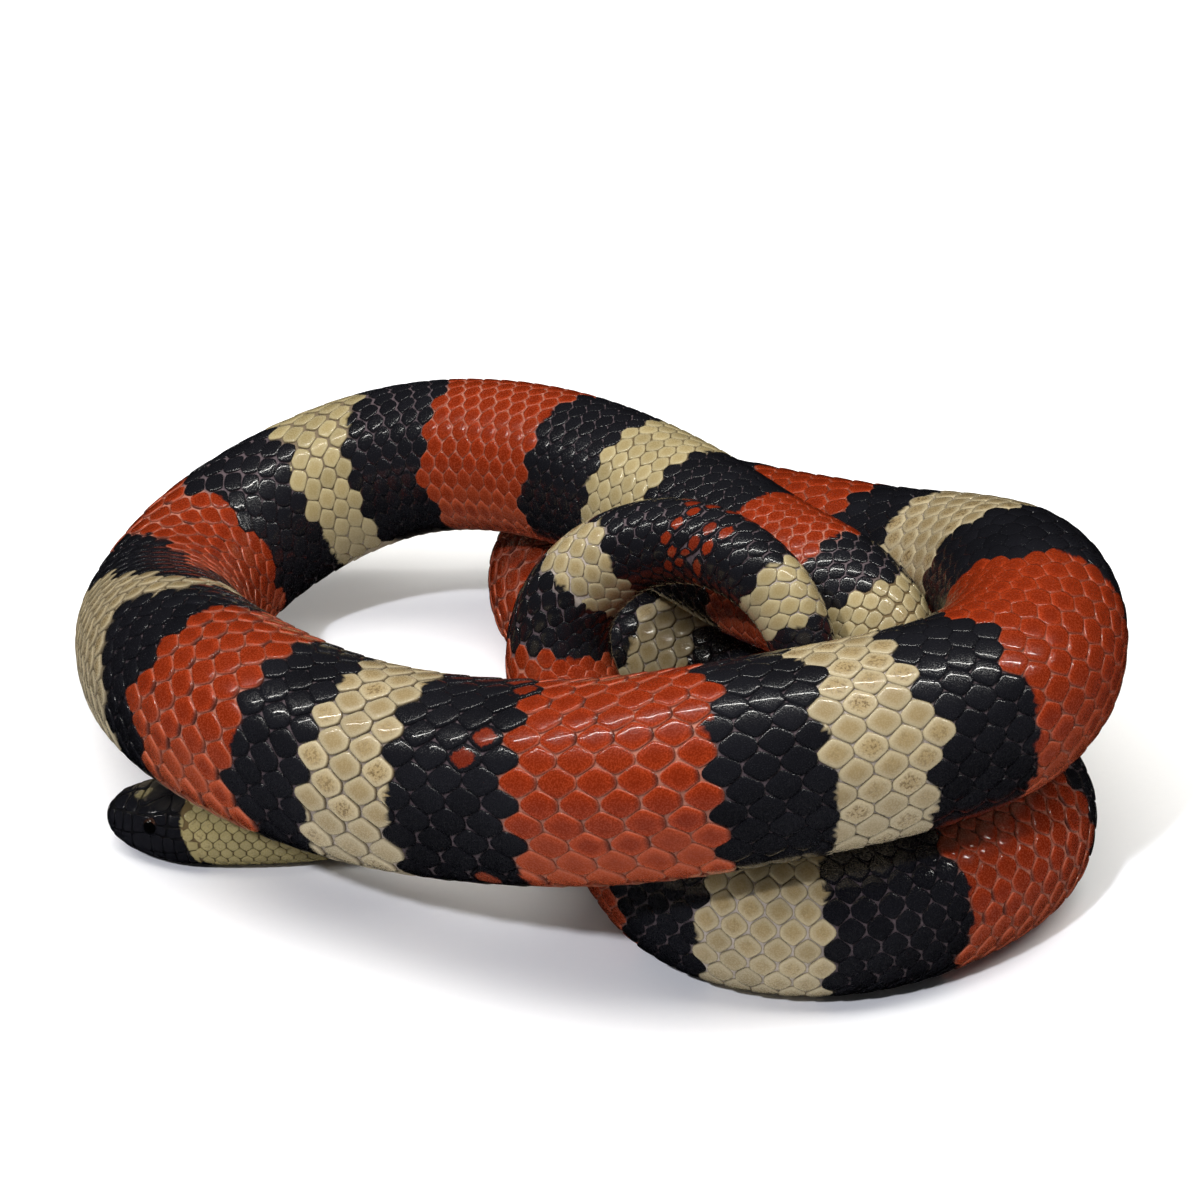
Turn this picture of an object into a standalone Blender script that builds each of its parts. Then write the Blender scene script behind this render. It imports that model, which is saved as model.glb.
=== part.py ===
# Milk snake, a still life-size model lying in a loose stacked coil
import math

import bpy
import numpy as np

MM = 0.001

# Route of the middle of the body, snout to tail tip, in millimetres
HEAD_ROUTE = [
    (-59.55, -14.4, 4.05), (-57.5, -14.8, 4.05), (-55.1, -15.3, 4.1), (-52.7, -16.0, 4.25),
    (-49.2, -17.2, 4.45), (-45.1, -18.1, 4.5), (-41.4, -18.5, 4.55),
]
NECK_ROUTE = [
    (-34.5, -18.0, 4.65), (-17.5, -13.6, 4.7), (-2.5, -9.9, 4.75), (10.5, -12.0, 5.3), (20.5, -17.5, 6.5),
]
RISE_ROUTE = [
    (29.0, -21.5, 11.0), (33.4, -22.8, 17.6), (37.0, -20.5, 25.0), (36.0, -15.0, 31.0), (30.5, -9.3, 32.5),
]
UPPER_ROUTE = [
    (24.0, -2.2, 32.0), (17.0, 8.0, 32.0), (7.7, 19.6, 32.0), (-2.8, 30.3, 31.0), (-13.8, 38.9, 28.5),
]
LEFT_END_ROUTE = [
    (-26.6, 45.9, 23.6), (-39.2, 45.9, 18.1), (-50.1, 39.5, 13.1), (-55.5, 24.0, 11.0), (-50.6, -5.0, 19.2),
]
FRONT_ROUTE = [
    (-40.5, -23.2, 22.9), (-28.8, -33.0, 23.2), (-15.2, -40.4, 24.5), (2.5, -49.2, 29.0), (14.0, -51.5, 32.0),
    (25.5, -49.2, 33.0), (37.4, -44.6, 33.2), (47.8, -38.0, 33.2),
]
RIGHT_END_ROUTE = [
    (54.8, -25.2, 33.1), (55.2, -11.8, 32.2), (50.9, 7.7, 25.2), (42.4, 22.6, 18.8), (32.5, 34.0, 15.0),
    (25.6, 43.6, 11.8),
]
FLOOR_BEND_ROUTE = [
    (19.5, 50.3, 10.3), (11.6, 53.2, 9.95), (4.2, 50.8, 9.9), (-0.9, 44.3, 9.9), (-1.9, 36.0, 9.9),
    (0.8, 28.8, 9.9), (6.3, 23.0, 9.9),
]
FLOOR_RUN_ROUTE = [
    (14.5, 16.5, 9.8), (24.5, 7.5, 9.7), (34.0, -1.5, 9.6), (43.5, -8.3, 9.6), (49.3, -14.1, 9.75),
    (52.8, -22.0, 9.85), (50.5, -30.5, 9.9), (41.5, -39.3, 9.9), (32.2, -44.6, 9.9), (21.5, -44.6, 9.8),
    (12.7, -38.1, 10.0),
]
TAIL_ROUTE = [
    (5.6, -27.3, 12.5), (0.3, -20.1, 17.5), (-2.8, -14.7, 23.0), (-3.3, -12.5, 30.0), (0.4, -11.9, 36.5),
    (6.2, -12.5, 41.0), (12.2, -14.3, 43.0), (18.2, -19.2, 43.5), (23.4, -24.9, 42.0), (26.9, -27.5, 37.0),
    (28.0, -29.0, 29.5), (26.5, -28.8, 22.5), (24.0, -27.8, 16.5), (21.0, -26.1, 12.5), (18.5, -24.3, 10.2),
]
# Shift that centres the model on its frame
PLACE = (0.1, -0.39)
# Spread of the bell-shaped average that evens the route
ROUTE_SMOOTH = 4.5

# Girth along the body: distance from snout, half width, half height
GIRTH = [
    (0.0, 2.9, 2.0), (2.0, 4.0, 2.6), (4.0, 5.2, 3.4), (6.0, 5.9, 3.95), (8.5, 6.5, 4.3),
    (11.5, 6.8, 4.5), (15.0, 6.4, 4.55), (19.0, 6.0, 4.55), (26.0, 5.7, 4.65), (43.0, 5.3, 4.8),
    (59.0, 5.1, 4.9), (83.0, 5.9, 5.9), (101.0, 6.8, 6.8), (117.0, 8.2, 8.2), (134.0, 9.3, 9.3),
    (160.0, 9.8, 9.8), (190.0, 10.0, 10.0), (219.0, 10.6, 10.6), (249.0, 11.4, 11.2), (267.0, 11.6, 11.6),
    (290.0, 12.0, 12.0), (318.0, 11.8, 11.8), (390.0, 11.6, 11.6), (415.0, 11.4, 11.4), (450.0, 11.1, 11.1),
    (497.0, 11.0, 10.8), (520.0, 11.3, 10.25), (570.0, 11.4, 10.15), (597.0, 11.4, 9.95), (620.0, 11.8, 10.2),
    (655.0, 11.7, 10.15), (666.0, 11.0, 10.1), (679.0, 9.7, 9.6), (689.0, 8.4, 8.4), (697.0, 7.3, 7.3),
    (704.0, 6.5, 6.5), (718.0, 5.5, 5.5), (733.0, 4.9, 4.9), (746.0, 4.3, 4.3), (754.0, 3.8, 3.8),
    (761.0, 3.2, 3.2), (768.0, 2.5, 2.5), (773.0, 1.8, 1.8), (777.0, 0.9, 0.9),
]
# Length over which the snout rounds off, and the rise of its flat top
SNOUT_ROUND = 1.7
BELLY_POWER = 2.5
HEAD_TOP_POWER = 2.35
HEAD_END = 19.0
# The back faces these ways along the tail, from this far along the body
BACK_HINTS = [
    (0.0, (0.0, 0.0, 1.0)), (668.0, (0.0, 0.0, 1.0)), (690.0, (-0.5, -0.6, 0.6)), (704.0, (-0.7, -0.7, 0.1)),
    (718.0, (-0.5, -0.5, 0.7)), (733.0, (0.1, -0.4, 0.9)), (746.0, (0.8, -0.3, 0.5)), (756.0, (0.9, -0.4, 0.1)),
    (780.0, (0.9, -0.2, 0.4)),
]

# Mouth line: distance from snout, height above the floor
MOUTH_LINE = [(0.0, 2.75), (3.0, 2.45), (7.0, 2.55), (10.0, 3.0), (13.6, 4.0), (20.0, 4.0)]
MOUTH_END = 13.6
MOUTH_DEPTH = 0.42
LIP_HALF_GAP = 0.24

# Eyes and nostrils
EYE_ALONG = 7.8
EYE_HEIGHT = 6.05
EYE_RADIUS = 1.1
EYE_SINK = 0.62
EYE_GAP = 0.3
BROW_RISE = 0.35
NOSTRIL_ALONG = 2.1
NOSTRIL_HEIGHT = 4.6
NOSTRIL_RADIUS = 0.42

# Thin cut between neighbouring lengths
CUT = 0.3
BODY_SIDES = 20
RING_STEP = 6.0
RING_TURN = math.radians(14.0)

# Lengths of the body: name, where it ends from the snout
LENGTHS = [
    ("neck", 72.0), ("torso_01", 99.0), ("torso_02", 122.0), ("torso_03", 160.0), ("torso_04", 195.0),
    ("torso_05", 222.0), ("torso_06", 247.0), ("torso_07", 275.0), ("torso_08", 305.0), ("torso_09", 352.0),
    ("torso_10", 395.0), ("torso_11", 418.0), ("torso_12", 442.0), ("torso_13", 483.0), ("torso_14", 504.0),
    ("torso_15", 538.0), ("torso_16", 590.0), ("torso_17", 616.0), ("torso_18", 640.0), ("torso_19", 663.0),
    ("torso_20", 692.0), ("tail_01", 712.0), ("tail_02", 733.0), ("tail_03", 752.0), ("tail_04", None),
]
SKIN_COLOURS = {"red": (0.42, 0.045, 0.02), "black": (0.012, 0.012, 0.016), "cream": (0.52, 0.42, 0.27)}


def clear_scene():
    for item in list(bpy.data.objects):
        bpy.data.objects.remove(item, do_unlink=True)


def collection(name):
    made = bpy.data.collections.new(name)
    bpy.context.scene.collection.children.link(made)
    return made


def material(name, colour, roughness):
    made = bpy.data.materials.new(name)
    made.use_nodes = True
    shader = made.node_tree.nodes["Principled BSDF"]
    shader.inputs["Base Color"].default_value = (*colour, 1.0)
    shader.inputs["Roughness"].default_value = roughness
    return made


def spline(points, per_span=14):
    """Centripetal Catmull-Rom curve through the points."""
    pts = np.asarray(points, float)
    knots = np.concatenate([[0.0], np.cumsum(np.linalg.norm(np.diff(pts, axis=0), axis=1) ** 0.5)])
    pts = np.vstack([2 * pts[0] - pts[1], pts, 2 * pts[-1] - pts[-2]])
    knots = np.concatenate([[knots[0] - (knots[1] - knots[0])], knots, [2 * knots[-1] - knots[-2]]])
    out = []
    for i in range(1, len(pts) - 2):
        p0, p1, p2, p3 = pts[i - 1:i + 3]
        t0, t1, t2, t3 = knots[i - 1:i + 3]
        t = np.linspace(t1, t2, per_span, endpoint=False)[:, None]
        a1 = (t1 - t) / (t1 - t0) * p0 + (t - t0) / (t1 - t0) * p1
        a2 = (t2 - t) / (t2 - t1) * p1 + (t - t1) / (t2 - t1) * p2
        a3 = (t3 - t) / (t3 - t2) * p2 + (t - t2) / (t3 - t2) * p3
        b1 = (t2 - t) / (t2 - t0) * a1 + (t - t0) / (t2 - t0) * a2
        b2 = (t3 - t) / (t3 - t1) * a2 + (t - t1) / (t3 - t1) * a3
        out.append((t2 - t) / (t2 - t1) * b1 + (t - t1) / (t2 - t1) * b2)
    out.append(pts[-2:-1])
    return np.vstack(out)


def arc_lengths(curve):
    return np.concatenate([[0.0], np.cumsum(np.linalg.norm(np.diff(curve, axis=0), axis=1))])


def even_steps(curve, step):
    along = arc_lengths(curve)
    wanted = np.linspace(0.0, along[-1], int(along[-1] / step) + 1)
    return np.stack([np.interp(wanted, along, curve[:, k]) for k in range(3)], 1)


def bell_average(curve, spread):
    """Average each point of an evenly stepped curve over a bell of the given spread."""
    reach = int(4 * spread)
    bell = np.exp(-0.5 * (np.arange(-reach, reach + 1) / spread) ** 2)
    bell /= bell.sum()
    head = 2 * curve[0] - curve[reach:0:-1]
    tail = 2 * curve[-1] - curve[-2:-reach - 2:-1]
    padded = np.concatenate([head, curve, tail])
    return np.stack([np.convolve(padded[:, k], bell, "valid") for k in range(3)], 1)


def build_route():
    """Middle line in millimetres, its arc length, tangent, back and side directions."""
    points = (HEAD_ROUTE + NECK_ROUTE + RISE_ROUTE + UPPER_ROUTE + LEFT_END_ROUTE + FRONT_ROUTE
              + RIGHT_END_ROUTE + FLOOR_BEND_ROUTE + FLOOR_RUN_ROUTE + TAIL_ROUTE)
    line = bell_average(even_steps(spline(points), 1.0), ROUTE_SMOOTH)
    line = line + np.array([PLACE[0], PLACE[1], 0.0])
    along = arc_lengths(line)
    tangent = np.gradient(line, axis=0)
    tangent /= np.linalg.norm(tangent, axis=1)[:, None]
    marks = np.array([h[0] for h in BACK_HINTS])
    ways = np.array([h[1] for h in BACK_HINTS])
    back = np.stack([np.interp(along, marks, ways[:, k]) for k in range(3)], 1)
    back -= (back * tangent).sum(1)[:, None] * tangent
    back /= np.linalg.norm(back, axis=1)[:, None]
    back = bell_average(back, 3.0)
    back -= (back * tangent).sum(1)[:, None] * tangent
    back /= np.linalg.norm(back, axis=1)[:, None]
    side = np.cross(tangent, back)
    return {"line": line, "along": along, "tangent": tangent, "back": back, "side": side}


def at(route, name, s):
    return np.stack([np.interp(s, route["along"], route[name][:, k]) for k in range(3)], -1)


def smooth_table(rows, s, column):
    """Read a table at s with a rounded (cubic) blend between its rows."""
    marks = np.array([row[0] for row in rows])
    values = np.array([row[column] for row in rows])
    slopes = np.gradient(values, marks)
    s = np.clip(np.asarray(s, float), marks[0], marks[-1])
    i = np.clip(np.searchsorted(marks, s, "right") - 1, 0, len(marks) - 2)
    width = marks[i + 1] - marks[i]
    t = (s - marks[i]) / width
    h00 = 2 * t ** 3 - 3 * t ** 2 + 1
    h10 = t ** 3 - 2 * t ** 2 + t
    h01 = -2 * t ** 3 + 3 * t ** 2
    h11 = t ** 3 - t ** 2
    return h00 * values[i] + h10 * width * slopes[i] + h01 * values[i + 1] + h11 * width * slopes[i + 1]


def half_sizes(s):
    """Half width and half height at s, rounded off at the snout."""
    nose = np.sqrt(1.0 - (1.0 - np.clip(np.asarray(s, float) / SNOUT_ROUND, 0.0, 1.0)) ** 2)
    return smooth_table(GIRTH, s, 1) * nose, smooth_table(GIRTH, s, 2) * nose


def section(s, angle):
    """Across and up from the middle at angle (0 = back, pi = belly), both signs of angle."""
    wide, high = half_sizes(s)
    top = 2.0 + (HEAD_TOP_POWER - 2.0) * np.clip((HEAD_END - s) / 6.0, 0.0, 1.0)
    power = np.where(np.cos(angle) >= 0.0, top, BELLY_POWER)
    across = wide * np.sign(np.sin(angle)) * np.abs(np.sin(angle)) ** (2.0 / power)
    up = high * np.sign(np.cos(angle)) * np.abs(np.cos(angle)) ** (2.0 / power)
    brow = BROW_RISE * np.exp(-((s - EYE_ALONG) / 1.6) ** 2 - ((np.abs(angle) - 0.85) / 0.28) ** 2)
    return across + np.sign(angle) * brow * 0.6, up + brow * 0.6


def ring(route, s, angles, inset=None):
    """World points of one cross-section, never below the floor."""
    middle = at(route, "line", s)
    back = at(route, "back", s)
    side = at(route, "side", s)
    across, up = section(s, angles)
    if inset is not None:
        across = np.sign(across) * np.maximum(np.abs(across) - inset, 0.05)
    pts = middle + across[:, None] * side + up[:, None] * back
    pts[:, 2] = np.maximum(pts[:, 2], 0.0)
    return pts


def mesh_object(name, verts, faces, group, mat):
    mesh = bpy.data.meshes.new(name)
    mesh.from_pydata([tuple(v) for v in np.asarray(verts) * MM], [], faces)
    mesh.validate()
    mesh.update()
    made = bpy.data.objects.new(name, mesh)
    group.objects.link(made)
    mesh.materials.append(mat)
    mesh.polygons.foreach_set("use_smooth", [len(p.vertices) < 5 for p in mesh.polygons])
    return made


def loft(rings, tip_start=None, tip_end=None):
    """Closed body from rings of equal count, with a middle point at each end."""
    count = len(rings[0])
    verts = [p for r in rings for p in r]
    faces = []
    for i in range(len(rings) - 1):
        for j in range(count):
            k = (j + 1) % count
            faces.append((i * count + j, i * count + k, (i + 1) * count + k, (i + 1) * count + j))
    start = len(verts)
    verts.append(rings[0].mean(0) if tip_start is None else tip_start)
    last = (len(rings) - 1) * count
    verts.append(rings[-1].mean(0) if tip_end is None else tip_end)
    for j in range(count):
        k = (j + 1) % count
        faces.append((start, k, j))
        faces.append((start + 1, last + j, last + k))
    return verts, faces


def stations(route, s0, s1):
    """Ring places from s0 to s1, closer together where the body bends."""
    fine = np.linspace(s0, s1, max(int((s1 - s0) / 0.5), 2))
    tangent = at(route, "tangent", fine)
    turn = np.arccos(np.clip((tangent[1:] * tangent[:-1]).sum(1), -1.0, 1.0))
    load = np.concatenate([[0.0], np.cumsum(np.diff(fine) / RING_STEP + turn / RING_TURN * 0.6)])
    count = max(int(math.ceil(load[-1])), 3)
    return np.interp(np.linspace(0.0, load[-1], count + 1), load, fine)


def build_length(route, name, s0, s1, group, mat):
    angles = np.linspace(0.0, 2.0 * math.pi, BODY_SIDES, endpoint=False)
    angles = np.where(angles > math.pi, angles - 2.0 * math.pi, angles)
    rings = [ring(route, s, angles) for s in stations(route, s0, s1)]
    tip = None
    if name == "tail_04":
        end = route["along"][-1]
        tip = at(route, "line", end) + at(route, "tangent", end) * 0.9
    verts, faces = loft(rings, tip_end=tip)
    return mesh_object(name, verts, faces, group, mat)


def lower_angle(s, height, route):
    """Angle from the back at which the lower side has this height."""
    wide, high = half_sizes(s)
    drop = np.clip((at(route, "line", s)[2] - height) / high, 0.02, 0.97)
    return math.pi - math.acos(drop ** (BELLY_POWER / 2.0))


def build_head(route, group, cutters, mat):
    places = [0.1, 0.35, 0.75, 1.3, 1.9, 2.6, 3.4, 4.2, 5.0, 5.8, 6.6, 7.4, 8.4, 9.6, 10.8, 12.0, 13.0, 13.8,
              15.0, 16.4, 17.8, HEAD_END - CUT / 2]
    upper = np.radians([0.0, 18.0, 34.0, 48.0, 61.0, 74.0, 88.0])
    rings = []
    for s in places:
        mouth = float(smooth_table(MOUTH_LINE, s, 1))
        wide = float(half_sizes(s)[0])
        fade = min(max((MOUTH_END - s) / 1.2, 0.0), 1.0)
        depth = min(MOUTH_DEPTH, 0.3 * wide) * fade
        gap = min(LIP_HALF_GAP, 0.2 * float(half_sizes(s)[1]))
        lips = [lower_angle(s, mouth + gap, route), lower_angle(s, mouth, route), lower_angle(s, mouth - gap, route)]
        lower = np.linspace(lips[2], math.pi, 5)[1:]
        half = np.concatenate([upper, lips, lower])
        angles = np.concatenate([half, -half[-2:0:-1]])
        inset = np.zeros(len(angles))
        inset[8] = depth
        inset[len(angles) - 8] = depth
        rings.append(ring(route, s, angles, inset))
    verts, faces = loft(rings, tip_start=at(route, "line", 0.0))
    head = mesh_object("head", verts, faces, group, mat)
    pieces = []
    for sign in (1.0, -1.0):
        pieces.append((eye_centre(route, sign), EYE_RADIUS + EYE_GAP))
        pieces.append((side_point(route, NOSTRIL_ALONG, NOSTRIL_HEIGHT, sign, 0.1), NOSTRIL_RADIUS))
    verts, faces = [], []
    for centre, radius in pieces:
        more, loops = ball(centre, radius, 16, 10)
        faces += [tuple(i + len(verts) for i in loop) for loop in loops]
        verts += more
    cutter = mesh_object("head_cutter", verts, faces, cutters, mat)
    cut = head.modifiers.new("sockets", "BOOLEAN")
    cut.operation = "DIFFERENCE"
    cut.solver = "EXACT"
    cut.object = cutter
    cutter.hide_render = True
    cutter.display_type = "WIRE"
    return head


def side_point(route, s, height, sign, sink):
    """Point on the side of the head at a height, moved inward by sink."""
    middle = at(route, "line", s)
    wide, high = half_sizes(s)
    up = (height - middle[2]) / high
    power = HEAD_TOP_POWER if up > 0.0 else BELLY_POWER
    across = wide * (1.0 - abs(up) ** power) ** (1.0 / power) - sink
    side = at(route, "side", s)
    place = middle + sign * across * side
    place[2] = height
    return place


def eye_centre(route, sign):
    return side_point(route, EYE_ALONG, EYE_HEIGHT, sign, EYE_SINK)


def ball(centre, radius, around, down):
    """Closed sphere, faces outward."""
    verts = [centre + np.array([0.0, 0.0, radius])]
    for i in range(1, down):
        tilt = math.pi * i / down
        for j in range(around):
            turn = 2.0 * math.pi * j / around
            verts.append(centre + radius * np.array([
                math.sin(tilt) * math.cos(turn), math.sin(tilt) * math.sin(turn), math.cos(tilt)]))
    verts.append(centre - np.array([0.0, 0.0, radius]))
    faces = []
    for j in range(around):
        k = (j + 1) % around
        faces.append((0, 1 + j, 1 + k))
        for i in range(down - 2):
            a = 1 + i * around
            faces.append((a + j, a + around + j, a + around + k, a + k))
        a = 1 + (down - 2) * around
        faces.append((a + j, len(verts) - 1, a + k))
    return verts, faces


def main():
    clear_scene()
    group = collection("milk_snake")
    cutters = collection("cutters")
    route = build_route()
    skin = [material("skin_" + name, colour, 0.35) for name, colour in SKIN_COLOURS.items()]
    eye = material("eye_black", (0.004, 0.004, 0.005), 0.05)
    build_head(route, group, cutters, skin[1])
    for name, sign in (("eye_left", 1.0), ("eye_right", -1.0)):
        verts, faces = ball(eye_centre(route, sign), EYE_RADIUS, 20, 12)
        mesh_object(name, verts, faces, group, eye)
    start = HEAD_END
    for index, (name, end) in enumerate(LENGTHS):
        stop = route["along"][-1] if end is None else end - CUT / 2
        build_length(route, name, start + CUT / 2, stop, group, skin[(2, 1, 0)[index % 3]])
        start = end


main()
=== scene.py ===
import math

import bpy
import numpy as np
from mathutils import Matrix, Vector


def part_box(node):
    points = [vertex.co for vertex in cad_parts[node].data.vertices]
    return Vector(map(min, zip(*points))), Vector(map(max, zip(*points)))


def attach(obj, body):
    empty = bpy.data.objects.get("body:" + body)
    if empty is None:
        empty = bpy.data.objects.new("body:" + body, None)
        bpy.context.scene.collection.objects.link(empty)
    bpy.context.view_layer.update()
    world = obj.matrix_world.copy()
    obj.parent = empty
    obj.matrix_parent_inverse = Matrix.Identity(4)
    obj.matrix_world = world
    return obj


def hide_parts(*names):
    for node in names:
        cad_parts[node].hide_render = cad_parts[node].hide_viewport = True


bl_info = {
    "name": "Milk Snake",
    "version": (1, 0, 0),
    "blender": (4, 5, 0),
    "location": "View3D > Sidebar > Milk Snake",
    "description": "Scaled coat, head shields, eyes and stage for the milk snake model",
    "category": "Object",
}

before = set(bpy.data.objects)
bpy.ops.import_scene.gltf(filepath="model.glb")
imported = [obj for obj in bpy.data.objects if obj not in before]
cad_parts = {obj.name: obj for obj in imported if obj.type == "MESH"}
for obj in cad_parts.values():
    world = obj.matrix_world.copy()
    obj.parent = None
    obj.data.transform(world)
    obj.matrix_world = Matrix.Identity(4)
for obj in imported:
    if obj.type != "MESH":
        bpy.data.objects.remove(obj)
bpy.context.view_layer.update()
EYES = ["eye_left", "eye_right"]
FLESH = [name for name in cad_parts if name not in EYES]

MM = 0.001

# Route of the middle of the body, snout to tail tip, in millimetres
ROUTE = [
    (-59.55, -14.4, 4.05), (-57.5, -14.8, 4.05), (-55.1, -15.3, 4.1), (-52.7, -16.0, 4.25),
    (-49.2, -17.2, 4.45), (-45.1, -18.1, 4.5), (-41.4, -18.5, 4.55),
    (-34.5, -18.0, 4.65), (-17.5, -13.6, 4.7), (-2.5, -9.9, 4.75), (10.5, -12.0, 5.3), (20.5, -17.5, 6.5),
    (29.0, -21.5, 11.0), (33.4, -22.8, 17.6), (37.0, -20.5, 25.0), (36.0, -15.0, 31.0), (30.5, -9.3, 32.5),
    (24.0, -2.2, 32.0), (17.0, 8.0, 32.0), (7.7, 19.6, 32.0), (-2.8, 30.3, 31.0), (-13.8, 38.9, 28.5),
    (-26.6, 45.9, 23.6), (-39.2, 45.9, 18.1), (-50.1, 39.5, 13.1), (-55.5, 24.0, 11.0), (-50.6, -5.0, 19.2),
    (-40.5, -23.2, 22.9), (-28.8, -33.0, 23.2), (-15.2, -40.4, 24.5), (2.5, -49.2, 29.0), (14.0, -51.5, 32.0),
    (25.5, -49.2, 33.0), (37.4, -44.6, 33.2), (47.8, -38.0, 33.2),
    (54.8, -25.2, 33.1), (55.2, -11.8, 32.2), (50.9, 7.7, 25.2), (42.4, 22.6, 18.8), (32.5, 34.0, 15.0),
    (25.6, 43.6, 11.8),
    (19.5, 50.3, 10.3), (11.6, 53.2, 9.95), (4.2, 50.8, 9.9), (-0.9, 44.3, 9.9), (-1.9, 36.0, 9.9),
    (0.8, 28.8, 9.9), (6.3, 23.0, 9.9),
    (14.5, 16.5, 9.8), (24.5, 7.5, 9.7), (34.0, -1.5, 9.6), (43.5, -8.3, 9.6), (49.3, -14.1, 9.75),
    (52.8, -22.0, 9.85), (50.5, -30.5, 9.9), (41.5, -39.3, 9.9), (32.2, -44.6, 9.9), (21.5, -44.6, 9.8),
    (12.7, -38.1, 10.0),
    (5.6, -27.3, 12.5), (0.3, -20.1, 17.5), (-2.8, -14.7, 23.0), (-3.3, -12.5, 30.0), (0.4, -11.9, 36.5),
    (6.2, -12.5, 41.0), (12.2, -14.3, 43.0), (18.2, -19.2, 43.5), (23.4, -24.9, 42.0), (26.9, -27.5, 37.0),
    (28.0, -29.0, 29.5), (26.5, -28.8, 22.5), (24.0, -27.8, 16.5), (21.0, -26.1, 12.5), (18.5, -24.3, 10.2),
]
# Shift that centres the model, and the spread of the bell-shaped average that evens the route
PLACE = (0.1, -0.39)
ROUTE_SMOOTH = 4.5
# Girth along the body: distance from snout, half width, half height
GIRTH = [
    (0.0, 2.9, 2.0), (2.0, 4.0, 2.6), (4.0, 5.2, 3.4), (6.0, 5.9, 3.95), (8.5, 6.5, 4.3),
    (11.5, 6.8, 4.5), (15.0, 6.4, 4.55), (19.0, 6.0, 4.55), (26.0, 5.7, 4.65), (43.0, 5.3, 4.8),
    (59.0, 5.1, 4.9), (83.0, 5.9, 5.9), (101.0, 6.8, 6.8), (117.0, 8.2, 8.2), (134.0, 9.3, 9.3),
    (160.0, 9.8, 9.8), (190.0, 10.0, 10.0), (219.0, 10.6, 10.6), (249.0, 11.4, 11.2), (267.0, 11.6, 11.6),
    (290.0, 12.0, 12.0), (318.0, 11.8, 11.8), (390.0, 11.6, 11.6), (415.0, 11.4, 11.4), (450.0, 11.1, 11.1),
    (497.0, 11.0, 10.8), (520.0, 11.3, 10.25), (570.0, 11.4, 10.15), (597.0, 11.4, 9.95), (620.0, 11.8, 10.2),
    (655.0, 11.7, 10.15), (666.0, 11.0, 10.1), (679.0, 9.7, 9.6), (689.0, 8.4, 8.4), (697.0, 7.3, 7.3),
    (704.0, 6.5, 6.5), (718.0, 5.5, 5.5), (733.0, 4.9, 4.9), (746.0, 4.3, 4.3), (754.0, 3.8, 3.8),
    (761.0, 3.2, 3.2), (768.0, 2.5, 2.5), (773.0, 1.8, 1.8), (777.0, 1.2, 1.2),
]
# Length over which the snout rounds off, and how square the belly and the top of the head are
SNOUT_ROUND = 1.7
BELLY_POWER = 2.5
HEAD_TOP_POWER = 2.35
HEAD_END = 19.0
EYE_ALONG = 7.8
EYE_HEIGHT = 6.05
EYE_RADIUS = 1.1
BROW_RISE = 0.35
NOSTRIL_ALONG = 2.1
NOSTRIL_HEIGHT = 4.6
# The back faces these ways along the tail, from this far along the body
BACK_HINTS = [
    (0.0, (0.0, 0.0, 1.0)), (668.0, (0.0, 0.0, 1.0)), (690.0, (-0.5, -0.6, 0.6)),
    (704.0, (-0.7, -0.7, 0.1)), (718.0, (-0.5, -0.5, 0.7)), (733.0, (0.1, -0.4, 0.9)),
    (746.0, (0.8, -0.3, 0.5)), (756.0, (0.9, -0.4, 0.1)), (780.0, (0.9, -0.2, 0.4)),
]
# Roll of the mid-back away from straight up, as a share of half the girth
ROLL = [(0.0, 0.0), (215.0, 0.0), (262.0, -0.07), (298.0, -0.08), (324.0, 0.0), (800.0, 0.0)]
# Mouth line: distance from snout, height above the floor
MOUTH_LINE = [(0.0, 2.75), (3.0, 2.45), (7.0, 2.55), (10.0, 3.0), (13.6, 4.0), (20.0, 4.0)]
MOUTH_END = 13.6
TIP_LENGTH = 0.9

# Length of a back scale along the body, in millimetres
PITCH = [
    (0.0, 1.45), (18.0, 1.6), (40.0, 1.8), (60.0, 1.9), (130.0, 2.2), (200.0, 2.5), (250.0, 3.2),
    (270.0, 3.6), (290.0, 4.4), (330.0, 4.5), (348.0, 5.0), (356.0, 4.8), (370.0, 4.3), (480.0, 4.2),
    (560.0, 3.15), (600.0, 3.3), (640.0, 3.3), (680.0, 3.0), (700.0, 2.6), (730.0, 2.2), (745.0, 2.1),
    (765.0, 1.7), (800.0, 1.4),
]
# Rows of back scales on each side of the middle one, and the share of the girth that they cover
ROWS = 10
BACK_SHARE = 0.76
# Half height of a back scale against the distance between rows, so that slanting sides meet
SCALE_REACH = 0.787
# Way to the camera: scales are laid out by the stretch of the side that faces it
VIEW_WAY = (0.0, -0.883, 0.469)
# Length of scale from which the coat has its full depth
FULL_SCALE = 4.0
# How closely the scales fill their places, above 1 where they overlap more
SCALE_FIT = [(0.0, 0.99), (110.0, 0.985), (250.0, 0.985), (300.0, 0.985), (500.0, 0.98), (560.0, 0.98),
             (680.0, 0.98), (705.0, 1.02), (745.0, 1.02), (800.0, 0.99)]
# Rows that end along the tail, in neighbouring pairs, and where
ROW_ENDS = {5: 684.0, 6: 684.0, 3: 715.0, 4: 715.0, 7: 735.0, 8: 735.0}
# Entries of the body's table round the girth, and points round its first, uneven outline
COLUMNS = 241
OUTLINE_POINTS = 481
# Length of body in each of the three strips of the flat map
STRIP_LENGTH = 262.0
# Where the paired scutes under the tail begin
TAIL_START = 700.0
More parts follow.
